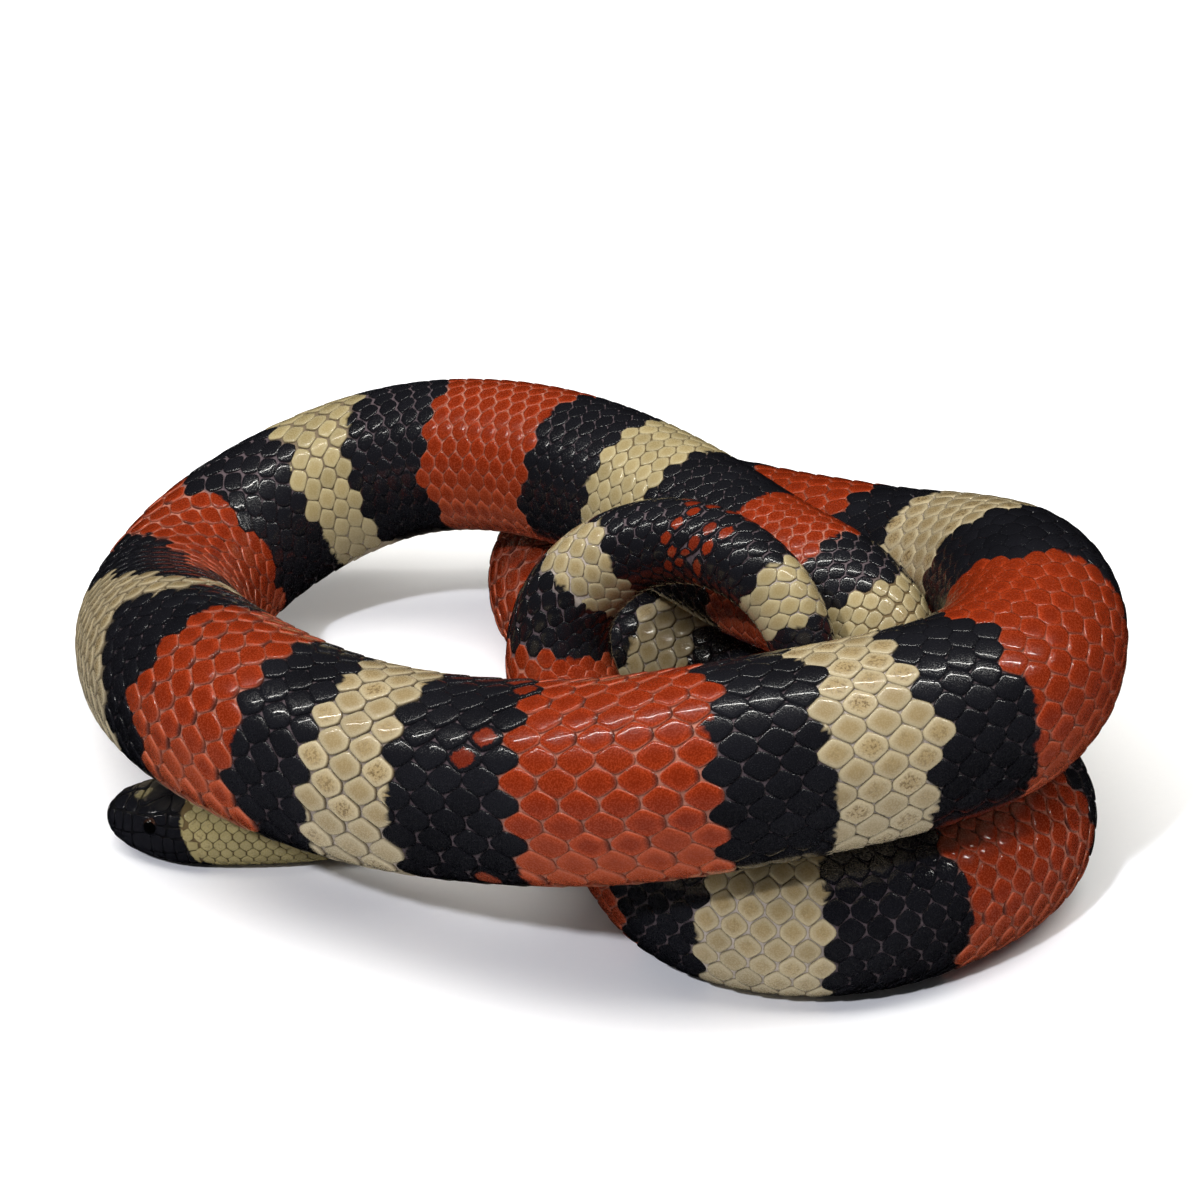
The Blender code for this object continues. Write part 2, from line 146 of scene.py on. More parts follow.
# Turns round a scale, from its free tip, at which the outline has a point
LARGE_SIDE = np.radians([15.0, 27.0, 50.0, 74.0, 90.0, 106.0, 134.0, 156.0, 168.0])
LARGE_TURNS = np.concatenate([[0.0], LARGE_SIDE, [np.pi], -LARGE_SIDE[::-1]])
SMALL_SIDE = np.radians([16.0, 50.0, 86.0, 128.0, 164.0])
SMALL_TURNS = np.concatenate([SMALL_SIDE, -SMALL_SIDE[::-1]])
# Lengths of the coat: name, start, end and the outline of the scales
COAT_LENGTHS = [
    ("scales_neck", 0.0, 110.0, SMALL_TURNS), ("scales_upper", 110.0, 215.0, SMALL_TURNS),
    ("scales_left", 215.0, 300.0, LARGE_TURNS), ("scales_front", 300.0, 390.0, LARGE_TURNS),
    ("scales_right", 390.0, 480.0, LARGE_TURNS), ("scales_back", 480.0, 555.0, LARGE_TURNS),
    ("scales_low", 555.0, 625.0, LARGE_TURNS), ("scales_bend", 625.0, 690.0, LARGE_TURNS),
    ("scales_tail", 690.0, 900.0, SMALL_TURNS),
]

# Rings of colour: where each starts from the snout
RED, BLACK, CREAM = 0, 1, 2
BANDS = [
    (0.0, BLACK), (12.6, CREAM), (30.0, BLACK), (37.0, RED), (49.0, BLACK), (56.0, CREAM),
    (64.0, BLACK), (71.0, RED), (85.0, BLACK), (100.0, CREAM), (118.0, BLACK), (124.2, RED),
    (136.2, BLACK), (150.4, CREAM), (161.7, BLACK), (173.8, RED), (193.0, BLACK), (206.8, CREAM),
    (218.2, BLACK), (232.6, RED), (250.0, BLACK), (272.0, CREAM), (282.2, BLACK), (294.9, RED),
    (310.2, BLACK), (319.9, CREAM), (331.0, BLACK), (346.0, RED), (366.4, BLACK), (376.9, CREAM),
    (388.0, BLACK), (399.2, RED), (420.6, BLACK), (436.5, CREAM), (458.3, BLACK), (472.5, RED),
    (497.5, BLACK), (507.0, CREAM), (516.0, BLACK), (527.0, RED), (549.5, BLACK), (561.3, CREAM),
    (571.0, BLACK), (580.0, RED), (590.0, BLACK), (598.0, CREAM), (606.0, BLACK), (622.5, RED),
    (641.2, BLACK), (653.7, CREAM), (663.1, BLACK), (671.5, RED), (705.8, BLACK), (715.3, CREAM),
    (722.5, BLACK), (744.8, CREAM), (750.9, BLACK),
]
# How olive, how speckled and how dark at the rim the cream scales are, along the body; the dark rim is partly
# the scales' own dark edge and partly painted shade under the free edge
OLIVE = [(0.0, 1.0), (40.0, 1.0), (110.0, 0.5), (220.0, 0.6), (270.0, 0.15), (700.0, 0.2), (745.0, 0.5)]
SPECKS = [(0.0, 0.7), (30.0, 0.5), (60.0, 0.0), (310.0, 0.0), (325.0, 0.8), (500.0, 1.0), (520.0, 0.5),
          (700.0, 0.2), (740.0, 0.1)]
DARK_RIM = [(0.0, 0.15), (140.0, 0.3), (250.0, 0.6), (330.0, 0.9), (390.0, 0.5), (700.0, 0.5)]
# How ochre the bare skin of the cream rings is
OCHRE_SKIN = [(0.0, 1.0), (150.0, 1.0), (300.0, 0.6), (380.0, 0.0), (800.0, 0.0)]
# Stretches where red shows on black scales: beside the front red ring, and a patch on the tail's arch
RED_HEARTS = (337.0, 347.0)
TAIL_PATCH = (731.0, 739.0)
# Edges that lean across the body: where the edge lies at each share round the back
LEANING = {
    12.6: [(0.0, 11.8), (0.13, 11.5), (0.3, 11.5), (0.36, 11.7), (0.45, 12.2), (0.55, 12.8), (0.65, 13.5),
           (0.8, 14.4), (1.0, 15.0)],
    250.0: [(-0.8, 252.0), (-0.3, 260.0), (-0.12, 268.0), (-0.04, 253.6), (0.03, 249.2), (0.13, 245.8),
            (0.3, 243.0), (0.8, 241.0)],
    272.0: [(-0.8, 262.0), (-0.3, 274.0), (-0.08, 280.2), (0.01, 276.6), (0.11, 271.2), (0.2, 259.5),
            (0.3, 255.5), (0.8, 254.0)],
    282.2: [(-0.8, 276.0), (-0.2, 284.0), (0.07, 284.4), (0.12, 281.4), (0.19, 280.2), (0.31, 283.6),
            (0.42, 286.0), (0.8, 284.0)],
}


class SnakeLook(bpy.types.PropertyGroup):
    red: bpy.props.StringProperty(
        name="Red", description="Ring red, as an sRGB hex value", default="6a1f0a")
    black: bpy.props.StringProperty(
        name="Black", description="Ring black, as an sRGB hex value", default="0d0d10")
    cream: bpy.props.StringProperty(
        name="Cream", description="Ring cream, as an sRGB hex value", default="8b7857")
    relief: bpy.props.FloatProperty(
        name="Scale relief", description="How far a large back scale is domed", default=0.00026,
        min=0.0, unit="LENGTH")
    coat_depth: bpy.props.FloatProperty(
        name="Coat depth", description="How far the skin lies inside the body's outline under large scales",
        default=0.0003, min=0.0, unit="LENGTH")


class SnakeStage(bpy.types.PropertyGroup):
    focal_length: bpy.props.FloatProperty(
        name="Focal length", description="Lens on a 36 mm sensor, in millimetres", default=117.0, min=20.0)
    distance: bpy.props.FloatProperty(
        name="Camera distance", description="From the camera to its target", default=0.52, unit="LENGTH")
    elevation: bpy.props.FloatProperty(
        name="Camera elevation", description="Angle of the camera above the floor",
        default=math.radians(28.0), subtype="ANGLE")
    target: bpy.props.FloatVectorProperty(
        name="Camera target", description="Point in the middle of the picture",
        default=(0.0026, 0.02111, 0.015), subtype="TRANSLATION")
    floor: bpy.props.StringProperty(
        name="Floor", description="Floor colour, as an sRGB hex value", default="f7f7f9")


def spline(points, per_span=14):
    """Centripetal Catmull-Rom curve: each span blends the two parabolas through its neighbours."""
    pts = np.asarray(points, float)
    knots = np.concatenate([[0.0], np.cumsum(np.linalg.norm(np.diff(pts, axis=0), axis=1) ** 0.5)])
    pts = np.vstack([2 * pts[0] - pts[1], pts, 2 * pts[-1] - pts[-2]])
    knots = np.concatenate([[knots[0] - (knots[1] - knots[0])], knots, [2 * knots[-1] - knots[-2]]])
    out = []
    for i in range(1, len(pts) - 2):
        p0, p1, p2, p3 = pts[i - 1:i + 3]
        t0, t1, t2, t3 = knots[i - 1:i + 3]
        t = np.linspace(t1, t2, per_span, endpoint=False)[:, None]
        a1 = (t1 - t) / (t1 - t0) * p0 + (t - t0) / (t1 - t0) * p1
        a2 = (t2 - t) / (t2 - t1) * p1 + (t - t1) / (t2 - t1) * p2
        a3 = (t3 - t) / (t3 - t2) * p2 + (t - t2) / (t3 - t2) * p3
        b1 = (t2 - t) / (t2 - t0) * a1 + (t - t0) / (t2 - t0) * a2
        b2 = (t3 - t) / (t3 - t1) * a2 + (t - t1) / (t3 - t1) * a3
        out.append((t2 - t) / (t2 - t1) * b1 + (t - t1) / (t2 - t1) * b2)
    out.append(pts[-2:-1])
    return np.vstack(out)


def arc_lengths(curve):
    """Running length of a curve at each of its points."""
    return np.concatenate([[0.0], np.cumsum(np.linalg.norm(np.diff(curve, axis=0), axis=1))])


def even_steps(curve, step):
    """The same curve with its points the given step apart."""
    along = arc_lengths(curve)
    wanted = np.linspace(0.0, along[-1], int(along[-1] / step) + 1)
    return np.stack([np.interp(wanted, along, curve[:, k]) for k in range(3)], 1)


def bell_average(curve, spread):
    """Average each point of an evenly stepped curve over a bell of the given spread."""
    reach = int(4 * spread)
    bell = np.exp(-0.5 * (np.arange(-reach, reach + 1) / spread) ** 2)
    bell /= bell.sum()
    head = 2 * curve[0] - curve[reach:0:-1]
    tail = 2 * curve[-1] - curve[-2:-reach - 2:-1]
    padded = np.concatenate([head, curve, tail])
    return np.stack([np.convolve(padded[:, k], bell, "valid") for k in range(3)], 1)


def build_route():
    """Middle line in millimetres, its arc length, tangent, back and side directions."""
    line = bell_average(even_steps(spline(ROUTE), 1.0), ROUTE_SMOOTH)
    line = line + np.array([PLACE[0], PLACE[1], 0.0])
    along = arc_lengths(line)
    tangent = np.gradient(line, axis=0)
    tangent /= np.linalg.norm(tangent, axis=1)[:, None]
    marks = np.array([h[0] for h in BACK_HINTS])
    ways = np.array([h[1] for h in BACK_HINTS])
    back = np.stack([np.interp(along, marks, ways[:, k]) for k in range(3)], 1)
    back -= (back * tangent).sum(1)[:, None] * tangent
    back /= np.linalg.norm(back, axis=1)[:, None]
    back = bell_average(back, 3.0)
    back -= (back * tangent).sum(1)[:, None] * tangent
    back /= np.linalg.norm(back, axis=1)[:, None]
    side = np.cross(tangent, back)
    return {"line": line, "along": along, "tangent": tangent, "back": back, "side": side}


def at(route, name, s):
    """One of the route's points or directions at distance s, between its entries."""
    return np.stack([np.interp(s, route["along"], route[name][:, k]) for k in range(3)], -1)


def smooth_table(rows, s, column):
    """Read a table at s with a rounded (cubic) blend between its rows."""
    marks = np.array([row[0] for row in rows])
    values = np.array([row[column] for row in rows])
    slopes = np.gradient(values, marks)
    s = np.clip(np.asarray(s, float), marks[0], marks[-1])
    i = np.clip(np.searchsorted(marks, s, "right") - 1, 0, len(marks) - 2)
    width = marks[i + 1] - marks[i]
    t = (s - marks[i]) / width
    h00 = 2 * t ** 3 - 3 * t ** 2 + 1
    h10 = t ** 3 - 2 * t ** 2 + t
    h01 = -2 * t ** 3 + 3 * t ** 2
    h11 = t ** 3 - t ** 2
    return h00 * values[i] + h10 * width * slopes[i] + h01 * values[i + 1] + h11 * width * slopes[i + 1]


def table(rows, s):
    """Read a table of pairs at s, straight between its rows."""
    return np.interp(s, [row[0] for row in rows], [row[1] for row in rows])


def soft_step(x, low, high):
    """0 below low, 1 above high, an S-curve between."""
    share = np.clip((x - low) / (high - low), 0.0, 1.0)
    return share * share * (3.0 - 2.0 * share)


def half_sizes(s, end):
    """Half width and half height at s, rounded off at the snout and at the tail's tip."""
    nose = np.sqrt(1.0 - (1.0 - np.clip(s / SNOUT_ROUND, 0.0, 1.0)) ** 2)
    tip = np.sqrt(np.clip(1.0 - np.clip((s - end + 3.0) / (3.0 + TIP_LENGTH), 0.0, 1.0) ** 2, 0.0, 1.0))
    return smooth_table(GIRTH, s, 1) * nose * tip, smooth_table(GIRTH, s, 2) * nose * tip


def section(s, angle, end):
    """Across and up from the middle at angle (0 = back, pi = belly): a superellipse with a brow bump."""
    wide, high = half_sizes(s, end)
    top = 2.0 + (HEAD_TOP_POWER - 2.0) * np.clip((HEAD_END - s) / 6.0, 0.0, 1.0)
    power = np.where(np.cos(angle) >= 0.0, top, BELLY_POWER)
    across = wide * np.sign(np.sin(angle)) * np.abs(np.sin(angle)) ** (2.0 / power)
    up = high * np.sign(np.cos(angle)) * np.abs(np.cos(angle)) ** (2.0 / power)
    brow = BROW_RISE * np.exp(-((s - EYE_ALONG) / 1.6) ** 2 - ((np.abs(angle) - 0.85) / 0.28) ** 2)
    return across + np.sign(angle) * brow * 0.6, up + brow * 0.6


def head_relief(s, t):
    """Rise of the head beyond the plain form: a ridge from nostril to brow, a hollow under it and full
    jowls, each a bell curve round the side that fades in and out along the head."""
    side = np.abs(t)
    ridge = 0.13 * np.exp(-((side - 0.315) / 0.035) ** 2) * soft_step(s, 2.6, 4.2) * soft_step(-s, -8.2, -6.4)
    hollow = -0.12 * np.exp(-((side - 0.40) / 0.05) ** 2) * soft_step(s, 2.8, 4.0) * soft_step(-s, -7.2, -6.0)
    jowl = 0.12 * np.exp(-((side - 0.47) / 0.08) ** 2 - ((s - 11.2) / 2.2) ** 2)
    crown = -0.06 * np.exp(-(t / 0.05) ** 2) * soft_step(s, 9.6, 10.6) * soft_step(-s, -12.6, -11.4)
    return ridge + hollow + jowl + crown


def build_body():
    """Table of the body's outline: point and normal at distance s from the snout and share t round it.

    t is 0 on the back and -1 and 1 on the belly, in even steps of the outline's own length.
    """
    route = build_route()
    end = route["along"][-1]
    # Fine rows on the head and at the tip, and one every half millimetre between
    rows = np.concatenate([
        np.linspace(0.0, 24.0, 161), np.linspace(24.5, end - 4.0, int((end - 28.0) / 0.5)),
        np.linspace(end - 3.8, end + TIP_LENGTH, 24)])
    line = at(route, "line", rows)
    tangent = at(route, "tangent", rows)
    line = line + tangent * np.maximum(rows - end, 0.0)[:, None]
    back = at(route, "back", rows)
    side = at(route, "side", rows)

    def outline(angle):
        across, up = section(rows[:, None], angle, end)
        points = line[:, None] + across[..., None] * side[:, None] + up[..., None] * back[:, None]
        points[..., 2] = np.maximum(points[..., 2], 0.0)
        return points

    angles = np.broadcast_to(np.linspace(-np.pi, np.pi, OUTLINE_POINTS), (len(rows), OUTLINE_POINTS))
    mid = OUTLINE_POINTS // 2
    step = np.linalg.norm(np.diff(outline(angles), axis=1), axis=2)
    share = np.linspace(-1.0, 1.0, COLUMNS)
    even = np.zeros((len(rows), COLUMNS))
    half = np.zeros(len(rows))
    for i in range(len(rows)):
        k = min(max(i, 1), len(rows) - 2)
        left = np.concatenate([[0.0], np.cumsum(step[k, mid:])])
        right = np.concatenate([[0.0], np.cumsum(step[k, :mid][::-1])])
        marks = np.concatenate([-(right / right[-1])[::-1], (left / left[-1])[1:]])
        even[i] = np.interp(share, marks, angles[i])
        half[i] = 0.5 * (left[-1] + right[-1])
    half[0] = 0.0
    body = {"rows": rows, "half": half, "end": end}
    body["place"] = outline(even)
    body["normal"] = outward(body["place"], line, tangent)
    rise = head_relief(rows[:, None], share[None, :]) * (rows[:, None] < HEAD_END)
    body["place"] = body["place"] + rise[..., None] * body["normal"]
    body["place"][..., 2] = np.maximum(body["place"][..., 2], 0.0)
    body["normal"] = outward(body["place"], line, tangent)
    stretch = np.linalg.norm(np.gradient(body["place"], axis=0), axis=2) / np.gradient(rows)[:, None]
    body["stretch"] = np.clip(stretch, 0.05, 3.0)
    body["reach"] = np.concatenate([[0.0], np.cumsum(
        np.linalg.norm(np.diff(body["place"], axis=0), axis=2).mean(1))])
    shown = np.clip(body["normal"] @ np.array(VIEW_WAY), 0.0, 1.0) ** 4
    facing = (body["stretch"] * shown).sum(1) / (shown.sum(1) + 1e-9)
    reach = 24
    bell = np.exp(-0.5 * (np.arange(-reach, reach + 1) / 9.0) ** 2)
    padded = np.pad(np.clip(facing, 0.6, 1.6), reach, mode="edge")
    body["facing"] = np.convolve(padded, bell / bell.sum(), "valid")
    return body


def outward(place, line, tangent):
    """Unit normals of the table: cross product of its two directions, turned away from the middle line."""
    along = np.gradient(place, axis=0)
    wrapped = np.concatenate([place[:, -2:-1], place, place[:, 1:2]], 1)
    round_ = wrapped[:, 2:] - wrapped[:, :-2]
    normal = np.cross(along, round_)
    normal *= np.sign(((place - line[:, None]) * normal).sum(2).mean())
    normal /= np.linalg.norm(normal, axis=2)[..., None] + 1e-12
    normal[0] = -tangent[0]
    normal[-1] = tangent[-1]
    return normal


def on_body(body, s, t, lift=0.0):
    """Point at s and t raised by lift along the normal, read between the table's four nearest entries."""
    s, t, lift = np.broadcast_arrays(np.asarray(s, float), np.asarray(t, float), np.asarray(lift, float))
    rows = body["rows"]
    row = np.interp(s, rows, np.arange(len(rows)))
    turned = np.mod(t + table(ROLL, s) + 1.0, 2.0)
    column = turned * (COLUMNS - 1) / 2.0
    i = np.clip(row.astype(int), 0, len(rows) - 2)
    j = np.clip(column.astype(int), 0, COLUMNS - 2)
    u = (row - i)[..., None]
    v = (column - j)[..., None]

    def read(name):
        data = body[name]
        near = data[i, j] * (1.0 - v) + data[i, j + 1] * v
        far = data[i + 1, j] * (1.0 - v) + data[i + 1, j + 1] * v
        return near * (1.0 - u) + far * u

    normal = read("normal")
    normal /= np.linalg.norm(normal, axis=-1)[..., None] + 1e-12
    return read("place") + normal * lift[..., None]


def half_girth(body, s):
    """Length round one side of the body, back to belly, in millimetres."""
    return np.interp(s, body["rows"], body["half"])


def share_at_height(body, s, height):
    """Share round the left side of the head where the surface comes down to the height."""
    t = np.linspace(0.15, 0.98, 400)
    z = on_body(body, np.asarray(s)[..., None], t)[..., 2]
    return t[np.argmax(z <= np.asarray(height)[..., None], axis=-1)]


def surface_noise(points, wave, seed):
    """Smooth noise of about -1 to 1: a sum of crossed sine waves of the given length in millimetres."""
    draw = np.random.default_rng(seed)
    total = np.zeros(points.shape[:-1])
    for size in (1.0, 0.53, 0.27):
        for _ in range(4):
            way = draw.normal(size=3)
            way /= np.linalg.norm(way)
            total = total + size * np.sin(points @ way * (2 * np.pi / (wave * size)) + draw.uniform(0, 6.28))
    return total / 3.6


def pigment_at(s, t):
    """Index of the ring colour at each s and t, from the rings' edges, some of which lean."""
    turned = t + table(ROLL, s)
    colour = np.full(np.broadcast(s, t).shape, BANDS[0][1])
    for start, shade in BANDS[1:]:
        edge = start
        if start in LEANING:
            rows = LEANING[start]
            key = np.abs(turned) if rows[0][0] >= 0.0 else turned
            edge = table(rows, key)
        colour = np.where(s >= edge, shade, colour)
    return colour


def weights_of(colour):
    """One weight for each of red, black and cream."""
    return np.stack([colour == RED, colour == BLACK, colour == CREAM], -1).astype(float)


def unwrap(s, t, strip=None):
    """Flat place on the unrolled body: three strips of equal length, one above another."""
    if strip is None:
        strip = np.floor(s / STRIP_LENGTH)
    u = (s - strip * STRIP_LENGTH) / STRIP_LENGTH * 0.98 + 0.01
    v = (strip + 0.5 + 0.48 * t) / 3.0
    return np.stack(np.broadcast_arrays(u, v), -1)


def mesh_piece(name, verts, faces, mats, point_data=None, point_uv=None, corner_uv=None):
    """Closed mesh object from whole arrays, with its faces turned outwards.

    Faces is a list of index arrays, each with its own number of corners.
    """
    faces = [np.asarray(f, np.int64) for f in faces if len(f)]
    mesh = bpy.data.meshes.new(name)
    mesh.vertices.add(len(verts))
    mesh.vertices.foreach_set("co", (np.asarray(verts, float) * MM).astype(np.float32).ravel())
    corners = np.concatenate([f.ravel() for f in faces])
    sizes = np.concatenate([np.full(len(f), f.shape[1]) for f in faces])
    mesh.loops.add(len(corners))
    mesh.loops.foreach_set("vertex_index", corners.astype(np.int32))
    mesh.polygons.add(len(sizes))
    mesh.polygons.foreach_set("loop_start", np.concatenate([[0], np.cumsum(sizes)[:-1]]).astype(np.int32))
    mesh.polygons.foreach_set("use_smooth", np.ones(len(sizes), bool))
    for key, values in (point_data or {}).items():
        layer = mesh.attributes.new(key, "FLOAT_VECTOR", "POINT")
        layer.data.foreach_set("vector", np.asarray(values, np.float32).ravel())
    if point_uv is not None:
        corner_uv = np.asarray(point_uv)[corners]
    if corner_uv is not None:
        layer = mesh.uv_layers.new(name="OFBake")
        layer.data.foreach_set("uv", np.asarray(corner_uv, np.float32).ravel())
    for mat in mats:
        mesh.materials.append(mat)
    mesh.update(calc_edges=True)
    mesh.validate()
    made = bpy.data.objects.new(name, mesh)
    bpy.context.scene.collection.objects.link(made)
    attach(made, "root")
    fix_outward(made)
    return made


def fix_outward(piece):
    """Turn all faces of a closed piece outwards where its enclosed volume comes out negative."""
    mesh = piece.data
    mesh.calc_loop_triangles()
    co = np.empty(len(mesh.vertices) * 3)
    mesh.vertices.foreach_get("co", co)
    tri = np.empty(len(mesh.loop_triangles) * 3, np.int32)
    mesh.loop_triangles.foreach_get("vertices", tri)
    p = co.reshape(-1, 3)[tri.reshape(-1, 3)]
    if np.einsum("ij,ij->i", p[:, 0], np.cross(p[:, 1], p[:, 2])).sum() < 0.0:
        mesh.flip_normals()


def grid_faces(rows, columns, closed=False):
    """Quads of a grid of points, joined round where it is closed."""
    i, j = np.meshgrid(np.arange(rows - 1), np.arange(columns if closed else columns - 1), indexing="ij")
    k = (j + 1) % columns
    far = (i + 1) * columns
    return np.stack([i * columns + j, i * columns + k, far + k, far + j], -1).reshape(-1, 4)


def fan_faces(first, count, apex):
    """Triangles to the apex from each side of a ring of points whose first is given."""
    around = np.arange(count)
    return np.stack([first + around, first + (around + 1) % count, np.full(count, apex)], 1)


def joined(parts):
    """Join parts, each made of points, lists of faces and point data, and renumber their faces to suit."""
    points, faces, *data = zip(*parts)
    starts = np.cumsum([0] + [len(p) for p in points])
    faces = [np.vstack([f + start for f, start in zip(kind, starts)]) for kind in zip(*faces)]
    return np.concatenate(points), faces, *[np.concatenate(values) for values in data]


def hex_colour(text):
    """An sRGB hex value as linear red, green, blue and alpha."""
    parts = [int(text[k:k + 2], 16) / 255.0 for k in (0, 2, 4)]
    return (*[p / 12.92 if p <= 0.04045 else ((p + 0.055) / 1.055) ** 2.4 for p in parts], 1.0)


def add_node(tree, kind, inputs=None, **settings):
    """Add a node with its settings, and set or link its inputs by name or number."""
    made = tree.nodes.new(kind)
    for key, value in settings.items():
        setattr(made, key, value)
    for key, value in (inputs or {}).items():
        if isinstance(value, bpy.types.NodeSocket):
            tree.links.new(value, made.inputs[key])
        else:
            made.inputs[key].default_value = value
    return made


def new_material(name, **sockets):
    """Material of the given name, with sockets of its shader set to constants."""
    mat = bpy.data.materials.new(name)
    mat.use_nodes = True
    shader = mat.node_tree.nodes["Principled BSDF"]
    for key, value in sockets.items():
        shader.inputs[key.replace("_", " ")].default_value = value
    return mat, mat.node_tree, shader


def coat_material(name, look, roughness, coat):
    """Snake keratin: clear horn over pigment, smooth to the touch, so each scale has its own sharp highlight.

    Reads pigment (red, black, cream), place (along, across, out to the rim), traits (chance, blotch, flank)
    and tint (olive, specks, dark rim; the dark rim is partly painted shade). Colours are laid over one
    another, each by a share that is a product.
    """
    mat, tree, shader = new_material(
        name, Roughness=roughness, IOR=1.42, Coat_Weight=coat, Coat_Roughness=0.05)
    read = {}
    for key in ("pigment", "place", "traits", "tint"):
        source = add_node(tree, "ShaderNodeAttribute", attribute_name=key)
        read[key] = add_node(tree, "ShaderNodeSeparateXYZ", {0: source.outputs["Vector"]}).outputs
    chance, blotch, flank = read["traits"]
    olive, speckled, dark_rim = read["tint"]
    along, out = read["place"][0], read["place"][2]
    where = add_node(tree, "ShaderNodeTexCoord").outputs["Object"]
    # Grain of about 0.2 mm, mottling of about 0.4 mm and clouds of about 9 mm; the clouds paint a faint sheen
    # on the black
    grain, mottle, sheen_cloud = [
        add_node(tree, "ShaderNodeTexNoise", {"Vector": where, "Scale": scale, "Detail": detail}).outputs[0]
        for scale, detail in ((4800.0, 3.0), (2600.0, 2.0), (110.0, 1.0))]

    # Each row: a value, the two limits it is held to, and what they turn into
    level = {}
    for key, *row in (
            ("fine", grain, 0.36, 0.64, 0.0, 1.0),
            ("rim", out, 0.90, 1.0, 0.0, 1.0),
            ("inside", out, 0.85, 0.40, 0.0, 1.0),
            ("stain", chance, 0.0, 1.0, 0.2, 0.7),
            ("tip", along, 0.70, 1.0, 0.0, 1.0),
            ("tipped", chance, 0.1, 0.8, 0.0, 1.0),
            ("spots", mottle, 0.49, 0.60, 0.0, 1.0),
            ("spotted", chance, 0.25, 0.9, 0.0, 1.0),
            ("edge", out, 0.88, 0.98, 0.0, 1.0),
            ("hind", along, -0.3, 0.5, 0.0, 1.0),
            ("bright", chance, 0.0, 1.0, 0.88, 1.12),
            ("gloss", grain, 0.3, 0.7, roughness - 0.05, roughness + 0.1)):
        level[key] = add_node(tree, "ShaderNodeMapRange", dict(enumerate(row))).outputs[0]
    heart = add_node(tree, "ShaderNodeMath", {0: level["inside"], 1: mottle}, operation="ADD").outputs[0]
    heart = add_node(tree, "ShaderNodeMapRange", {0: heart, 1: 0.75, 2: 1.15}).outputs[0]

    # Each row: a share and the values whose product it is
    share = {}
    for key, total, *factors in (
            # Painted fill light: the red flank is painted paler, as the lower sides are lit
            ("flank_fill_light", flank, 0.7),
            ("deep", level["inside"], level["stain"]),
            ("pale_rim", level["rim"], 0.5),
            # Painted shade at the free tip of some scales, where the tip stands over the next
            ("tip_shade", level["tip"], level["tipped"], 0.85),
            ("grey", flank, 0.6),
            ("specks", level["spots"], level["spotted"], level["inside"], speckled, 0.8),
            # A thin dark line at the free edge: partly the scale's own dark edge, partly painted shade
            ("line", level["edge"], level["hind"], dark_rim, 0.85),
            ("heart", heart, blotch)):
        for factor in factors:
            total = add_node(tree, "ShaderNodeMath", {0: total, 1: factor}, operation="MULTIPLY").outputs[0]
        share[key] = total

    # Red: brick-red grain, a paler flank painted as fill light on the lower sides, a deep middle, a thin
    # paler rim and painted shade at the free tip
    # Cream: tan with brown specks towards the middle, a pale margin and a thin brown line at the free edge,
    # partly its own dark edge and partly painted shade
    # Black: blue-black with faint grey clouds of painted sheen
    paint = {}
    for key, ground, layers in (
            ("red", look.red, (
                (level["fine"], "8c3012"), (share["flank_fill_light"], "a04a2c"), (share["deep"], "5c1806"),
                (share["pale_rim"], "b06a54"), (share["tip_shade"], "2c1412"))),
            ("cream", "9f9277", (
                (level["inside"], look.cream), (share["grey"], "9f9580"), (olive, "8f835a"),
                (share["specks"], "4c3a24"), (share["line"], "3a2a1a"))),
            ("black", look.black, ((sheen_cloud, "17171b"),))):
        paint[key] = hex_colour(ground)
        for amount, shade in layers:
            inputs = {0: amount, 6: paint[key], 7: hex_colour(shade)}
            paint[key] = add_node(tree, "ShaderNodeMix", inputs, data_type="RGBA").outputs[2]

    # Black first, with a soft red heart on some scales beside a red ring, then the red and the cream rings
    colour = paint["black"]
    for amount, over in (
            (share["heart"], paint["red"]), (read["pigment"][0], paint["red"]),
            (read["pigment"][2], paint["cream"])):
        colour = add_node(tree, "ShaderNodeMix", {0: amount, 6: colour, 7: over}, data_type="RGBA").outputs[2]
    colour = add_node(tree, "ShaderNodeHueSaturation", {"Color": colour, "Value": level["bright"]}).outputs[0]
    tree.links.new(colour, shader.inputs["Base Color"])
    tree.links.new(level["gloss"], shader.inputs["Roughness"])
    bump = add_node(tree, "ShaderNodeBump", {"Height": grain, "Strength": 0.5, "Distance": 0.00004})
    tree.links.new(bump.outputs[0], shader.inputs["Normal"])
    return mat


